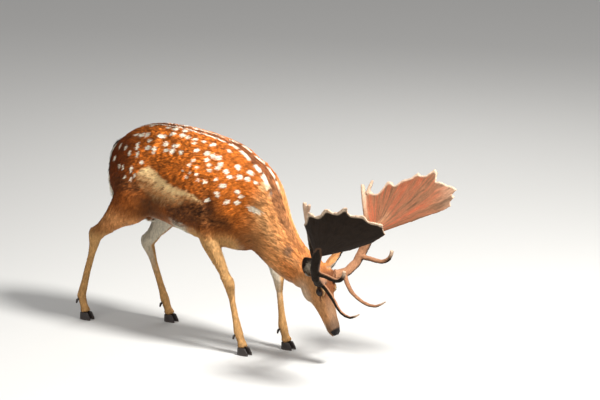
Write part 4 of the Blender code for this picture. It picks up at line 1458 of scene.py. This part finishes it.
def fan_lines(points, root, beam, along, across):
    """Places on the palm laid out so that veins fan out from its root."""
    below = corners_of(beam).mean(axis=0) - root
    fan = points - root - FAN_CENTRE * below / np.linalg.norm(below)
    spread = np.arctan2(fan @ across, fan @ along)
    far = np.hypot(fan @ across, fan @ along)
    wander = 0.010 * cloud(points, 0.05, 8)
    return np.stack([spread * 0.34 + wander, far * 0.10, 0 * far], 1)


def end_of(node, towards):
    """The end of a node nearest to a place."""
    corners = corners_of(node)
    return corners[np.argsort(gaps_to(towards, corners))[:12]].mean(axis=0)


def turn_round(points, node, nodes):
    """Angle round the long axis of each point's beam or tine, and the way along it."""
    turn, way = np.zeros((2, len(points)))
    for index, name in enumerate(nodes[:-1]):
        own = node == index
        centre, ways = own_ways(corners_of(name))
        offset = points[own] - centre
        turn[own] = np.arctan2(offset @ ways[1], offset @ ways[2])
        way[own] = offset @ ways[0]
    return turn, way


def burr_at(points, beam):
    """The ring at the foot of the beam, just clear of the skull."""
    corners = corners_of(beam)
    foot = end_of(beam, np.array(BROW) - 0.05 * HEAD_AXES[0])
    gaps = gaps_to(foot, corners)
    onward = corners[(gaps > 0.030) & (gaps < 0.060)].mean(axis=0) - foot
    onward /= np.linalg.norm(onward)
    way = (points - foot) @ onward
    return bump_at(way, 0.023, 0.0042) * (gaps_to(foot, points) < 0.060)


def tips_of(points, nodes):
    """How near each point lies to the tip of a tine, and painted shade just below the tip of the
    trez tine.
    """
    beam = corners_of(nodes[0]).mean(axis=0)
    near, trez_tip_shade = np.zeros((2, len(points)))
    for name in nodes[1:4]:
        corners = corners_of(name)
        gap = gaps_to(corners[np.argmax(gaps_to(beam, corners))], points)
        pale = 0.19 if "back" in name else 0.045
        near = np.maximum(near, ramp(pale, 0.2 * pale, gap))
        if "trez" in name:
            trez_tip_shade = np.maximum(trez_tip_shade, bump_at(gap, 0.038, 0.017))
    return near, trez_tip_shade


def velvet_tone(points, normals, facing, face, palm, streaks, reach, edge, tips, trez_tip_shade):
    """Pink tan inside; dark outside, partly the velvet's own dark and partly painted shade;
    painted shade on the outer and lower sides of the beams and under the trez tine's tip; pale
    along the rims and the tips, the upper rims partly painted highlight.
    """
    coarse, fine, fleck = (cloud(points, size, seed) for size, seed in
                           ((0.050, 11), (0.011, 12), (0.005, 13)))
    mottle = 0.6 * fine + 0.6 * fleck
    velvet = Coat(colours(), "velvet", 1 + 0.10 * coarse + 0.12 * mottle)
    inner = face * ramp(0.1, -0.5, facing)
    blush = inner * ramp(0.46, 0.20, reach + 0.04 * coarse) * ramp(0.0, 0.05, reach)
    velvet.lay("blush", held(blush * (0.55 + 0.9 * streaks + 0.15 * mottle)))
    velvet.lay("rim", 0.55 * inner * ramp(0.24, 0.44, reach), 0.85)
    velvet.tone *= (1 + 0.70 * streaks * inner)[:, None]
    # Outer faces of the palms: dark velvet, darkened further as painted shade
    outer = ramp(-0.1, 0.35, facing) * face
    velvet.lay("dark_velvet", 0.98 * outer, 1 + 0.3 * mottle + 0.3 * streaks)
    # Pale rims: partly fuzz, partly painted highlight on the upper rims
    velvet.lay("rim", held(0.85 * edge + 0.3 * edge * mottle) * (1 - 0.15 * outer),
               1 + 0.10 * mottle)
    # Painted shade on the beams and tines, on the sides that face out and down, less near the tips
    beam = 1 - palm
    shady = np.maximum(ramp(-0.05, 0.45, facing), ramp(0.05, 0.65, -normals[:, 2])) * beam
    shady *= 1 - 0.75 * tips
    velvet.lay("dark_velvet", held(1.12 * shady + 0.12 * shady * mottle), 1.5 + 0.4 * mottle)
    velvet.lay("rim", 0.75 * tips * beam, 0.9)
    # Painted shade under the trez tine, below its pale tip
    velvet.lay("dark_velvet", 0.9 * (trez_tip_shade * ramp(0.7, -0.2, normals[:, 2] + 0.2 * mottle)), 1.3)
    return velvet.tone


def velvet_material():
    """Velvet skin: fine nap with a soft sheen."""
    shop = Shop("velvet", roughness=0.86, specular_ior_level=0.1, sheen_weight=0.06,
                sheen_roughness=0.45)
    nap = shop.noise(1400.0, 2.0)
    mottle = shop.noise(160.0, 4.0)
    lines = shop.node("ShaderNodeTexNoise", None, Vector=shop.colour("lines"), Scale=330.0,
                      Detail=3.0)
    tone = nap * 0.24 + mottle * 0.50 + lines * 1.30 - 0.02
    shade = shop.toned(tone)
    height = nap * 0.4 + mottle + lines * 0.8
    return shop.finish(base_color=shade, normal=shop.bump(height, 0.0009, 0.8))


def make_velvet_hair():
    """Short fuzz over the antlers, thickest along the rims and the tips."""
    material = velvet_hair_material()
    dice = np.random.default_rng(FUZZ_SEED)
    for side, _ in SIDES:
        antler = bpy.data.objects[f"antler_{side}"]
        ground = Ground(antler)
        web = Web(antler.data)
        hair = read(antler.data.attributes["hair"].data, "color", 4)[:, :3]
        rim = web.smooth(ground.values["rim"], 4)
        crowd = (0.1 + 13.0 * rim ** 1.5) * TO_SQUARE_METRES * sizes().hair_count
        roots = ground.scatter(crowd, dice)
        places, normals = ground.at(roots, ground.points), unit(ground.at(roots, ground.normals))
        lies = laid_flat(palm_frame(side)[1] + np.array((0, 0, 0.2)), normals)
        edge = ground.at(roots, rim)
        length = (0.0036 + 0.0010 * edge) * sizes().hair_length
        tones = ground.at(roots, hair) * 1.15
        chart = Chart(antler, np.zeros(len(ground.points), int), FUZZ_CHART_SHARE)
        tufts(f"velvet_hair_{side}", places, normals, lies,
              (length, np.full(len(places), 0.00055), 0.12 + 0.30 * edge), tones,
              chart.places(0, places), dice, material, FUZZ_PAINTED_SHADE)
        chart.discard()


def velvet_hair_material():
    shop = Shop("velvet hair", roughness=0.75, specular_ior_level=0.2)
    return shop.finish(base_color=shop.colour("hair"))


# ---------------------------------------------------------------- hooves

CLAW_GRAIN = 0.0018          # spacing of the points of the claws
RING_SPACING = 0.0036        # between the growth rings of the horn


def make_hooves():
    """Claws and dewclaws of each foot, with growth rings round the horn."""
    material = horn_material()
    for end in ("fore", "hind"):
        for side, _ in SIDES:
            nodes = [f"{kind}_{end}_{side}_{claw}" for kind in ("hoof", "dewclaw")
                     for claw in ("inner", "outer")]
            foot = fused(f"claws_{end}_{side}", nodes, CLAW_GRAIN, 0.0003)
            mesh = foot.data
            web = Web(mesh)
            points = web.smooth(points_of(mesh), 5, 0.4)
            move_points(mesh, points)
            normals = normals_of(mesh)
            wall = ramp(0.75, 0.4, np.abs(normals[:, 2]))
            rings = np.sin((points[:, 2] + 0.16 * points[:, 0]) * 2 * math.pi / RING_SPACING)
            points = points + normals * (wall * 0.00022 * rings - 0.0002)[:, None]
            points[:, 2] = np.maximum(points[:, 2], 0.0)
            move_points(mesh, points)
            store_value(mesh, "worn", ramp(0.010, 0.001, points[:, 2]))
            seat(foot, material, "horn", *nodes)


def horn_material():
    """Dark horn, duller and paler where it is worn at the sole."""
    shop = Shop("horn", roughness=0.42, specular_ior_level=0.45)
    dark = (*colours()["horn"], 1)
    worn = (*(colours()["horn"] * 3.2 + 0.02), 1)
    grain = shop.noise(90.0, 5.0, (1.0, 1.0, 9.0))
    shade = shop.mix(shop.value("worn") * 0.55 + grain * 0.25, dark, worn)
    return shop.finish(base_color=shade, roughness=0.34 + grain * 0.25 + shop.value("worn") * 0.2,
                       normal=shop.bump(grain, 0.0004, 0.6))


# ---------------------------------------------------------------- stage

VIEW_BACK = Vector((0.62088, -0.73994, 0.25882))   # from the buck towards the camera
VIEW_RIGHT = Vector((0.76604, 0.64279, 0))
CAMERA_DISTANCE = 30.0
LAMP_DISTANCE = 4.2


def make_stage():
    """A pale floor, soft lights and the camera."""
    shape = bmesh.new()
    bmesh.ops.create_grid(shape, x_segments=1, y_segments=1, size=30)
    floor = add_object("floor", mesh_from("floor", shape))
    shop = Shop("floor", roughness=0.9, base_color=(0.62, 0.61, 0.58, 1))
    floor.data.materials.append(shop.material)

    world = bpy.data.worlds.new("studio")
    bpy.context.scene.world = world
    world.use_nodes = True
    background = world.node_tree.nodes["Background"].inputs
    background["Color"].default_value = (0.97, 0.97, 1.0, 1)
    background["Strength"].default_value = 0.34
    low, high = CAD_BOX
    centre = (Vector(low) + Vector(high)) / 2
    up = VIEW_BACK.cross(VIEW_RIGHT)
    for name, way, size, power in (
            ("key", VIEW_RIGHT * 0.62 + VIEW_BACK * 0.50 + Vector((0, 0, 1.0)), 1.1, 350),
            ("fill", VIEW_RIGHT * -0.9 + VIEW_BACK * 0.8 + Vector((0, 0, 0.5)), 3.0, 42),
            ("back", VIEW_RIGHT * 0.2 - VIEW_BACK * 1.0 + Vector((0, 0, 0.9)), 2.5, 32)):
        light = bpy.data.lights.new(name, "AREA")
        light.shape, light.size, light.energy = "DISK", size, power
        lamp = add_object(name, light)
        lamp.location = centre + way.normalized() * LAMP_DISTANCE
        lamp.rotation_euler = (lamp.location - centre).to_track_quat("Z", "Y").to_euler()

    camera = bpy.data.cameras.new("camera")
    camera.lens = 14.7 * (CAMERA_DISTANCE - 0.40)
    camera.clip_end = 100
    viewer = add_object("camera", camera)
    aim = HIPS + VIEW_RIGHT * 0.551 + up * 0.532
    turned = Matrix((VIEW_RIGHT, up, VIEW_BACK)).transposed().to_4x4()
    viewer.matrix_world = Matrix.Translation(aim + VIEW_BACK * CAMERA_DISTANCE) @ turned
    bpy.context.scene.camera = viewer
    bpy.context.scene.view_settings.view_transform = "Standard"


# ---------------------------------------------------------------- operators

class BuildPiece:
    """What every operator of the buck shares."""

    bl_options = {"REGISTER", "UNDO"}

    def execute(self, context):
        self.build()
        return {"FINISHED"}


class BUCK_OT_skin(BuildPiece, bpy.types.Operator):
    """Build the skin under the coat, with its markings"""

    bl_idname = "buck.skin"
    bl_label = "Skin"
    build = staticmethod(make_skin)


class BUCK_OT_eyes(BuildPiece, bpy.types.Operator):
    """Build both eyes"""

    bl_idname = "buck.eyes"
    bl_label = "Eyes"
    build = staticmethod(make_eyes)


class BUCK_OT_coat(BuildPiece, bpy.types.Operator):
    """Grow the tufts of the coat on the skin"""

    bl_idname = "buck.coat"
    bl_label = "Coat"
    build = staticmethod(make_coat)


class BUCK_OT_antlers(BuildPiece, bpy.types.Operator):
    """Build both antlers in velvet"""

    bl_idname = "buck.antlers"
    bl_label = "Antlers"
    build = staticmethod(make_antlers)


class BUCK_OT_velvet_hair(BuildPiece, bpy.types.Operator):
    """Grow the short fuzz of the antlers"""

    bl_idname = "buck.velvet_hair"
    bl_label = "Velvet fuzz"
    build = staticmethod(make_velvet_hair)


class BUCK_OT_hooves(BuildPiece, bpy.types.Operator):
    """Build the claws of all four feet"""

    bl_idname = "buck.hooves"
    bl_label = "Hooves"
    build = staticmethod(make_hooves)


class BUCK_OT_stage(BuildPiece, bpy.types.Operator):
    """Set the floor, the lights and the camera"""

    bl_idname = "buck.stage"
    bl_label = "Stage"
    build = staticmethod(make_stage)


OPERATORS = (BUCK_OT_skin, BUCK_OT_eyes, BUCK_OT_coat, BUCK_OT_antlers, BUCK_OT_velvet_hair,
             BUCK_OT_hooves, BUCK_OT_stage)


class BUCK_PT_panel(bpy.types.Panel):
    """The pieces of the buck, in the order they are built"""

    bl_idname = "BUCK_PT_panel"
    bl_label = "Grazing fallow buck"
    bl_space_type = "VIEW_3D"
    bl_region_type = "UI"
    bl_category = "Buck"

    def draw(self, context):
        for operator in OPERATORS:
            self.layout.operator(operator.bl_idname)
        for group in (context.scene.buck_sizes, context.scene.buck_colours):
            box = self.layout.box()
            for name in group.__annotations__:
                box.prop(group, name)


CLASSES = (BuckColours, BuckSizes, *OPERATORS, BUCK_PT_panel)


def register():
    for item in CLASSES:
        bpy.utils.register_class(item)
    bpy.types.Scene.buck_colours = bpy.props.PointerProperty(type=BuckColours)
    bpy.types.Scene.buck_sizes = bpy.props.PointerProperty(type=BuckSizes)


def unregister():
    del bpy.types.Scene.buck_sizes
    del bpy.types.Scene.buck_colours
    for item in reversed(CLASSES):
        bpy.utils.unregister_class(item)


def main():
    register()
    for build in (bpy.ops.buck.skin, bpy.ops.buck.eyes, bpy.ops.buck.coat, bpy.ops.buck.antlers,
                  bpy.ops.buck.velvet_hair, bpy.ops.buck.hooves, bpy.ops.buck.stage):
        build()


if __name__ == "__main__":
    main()
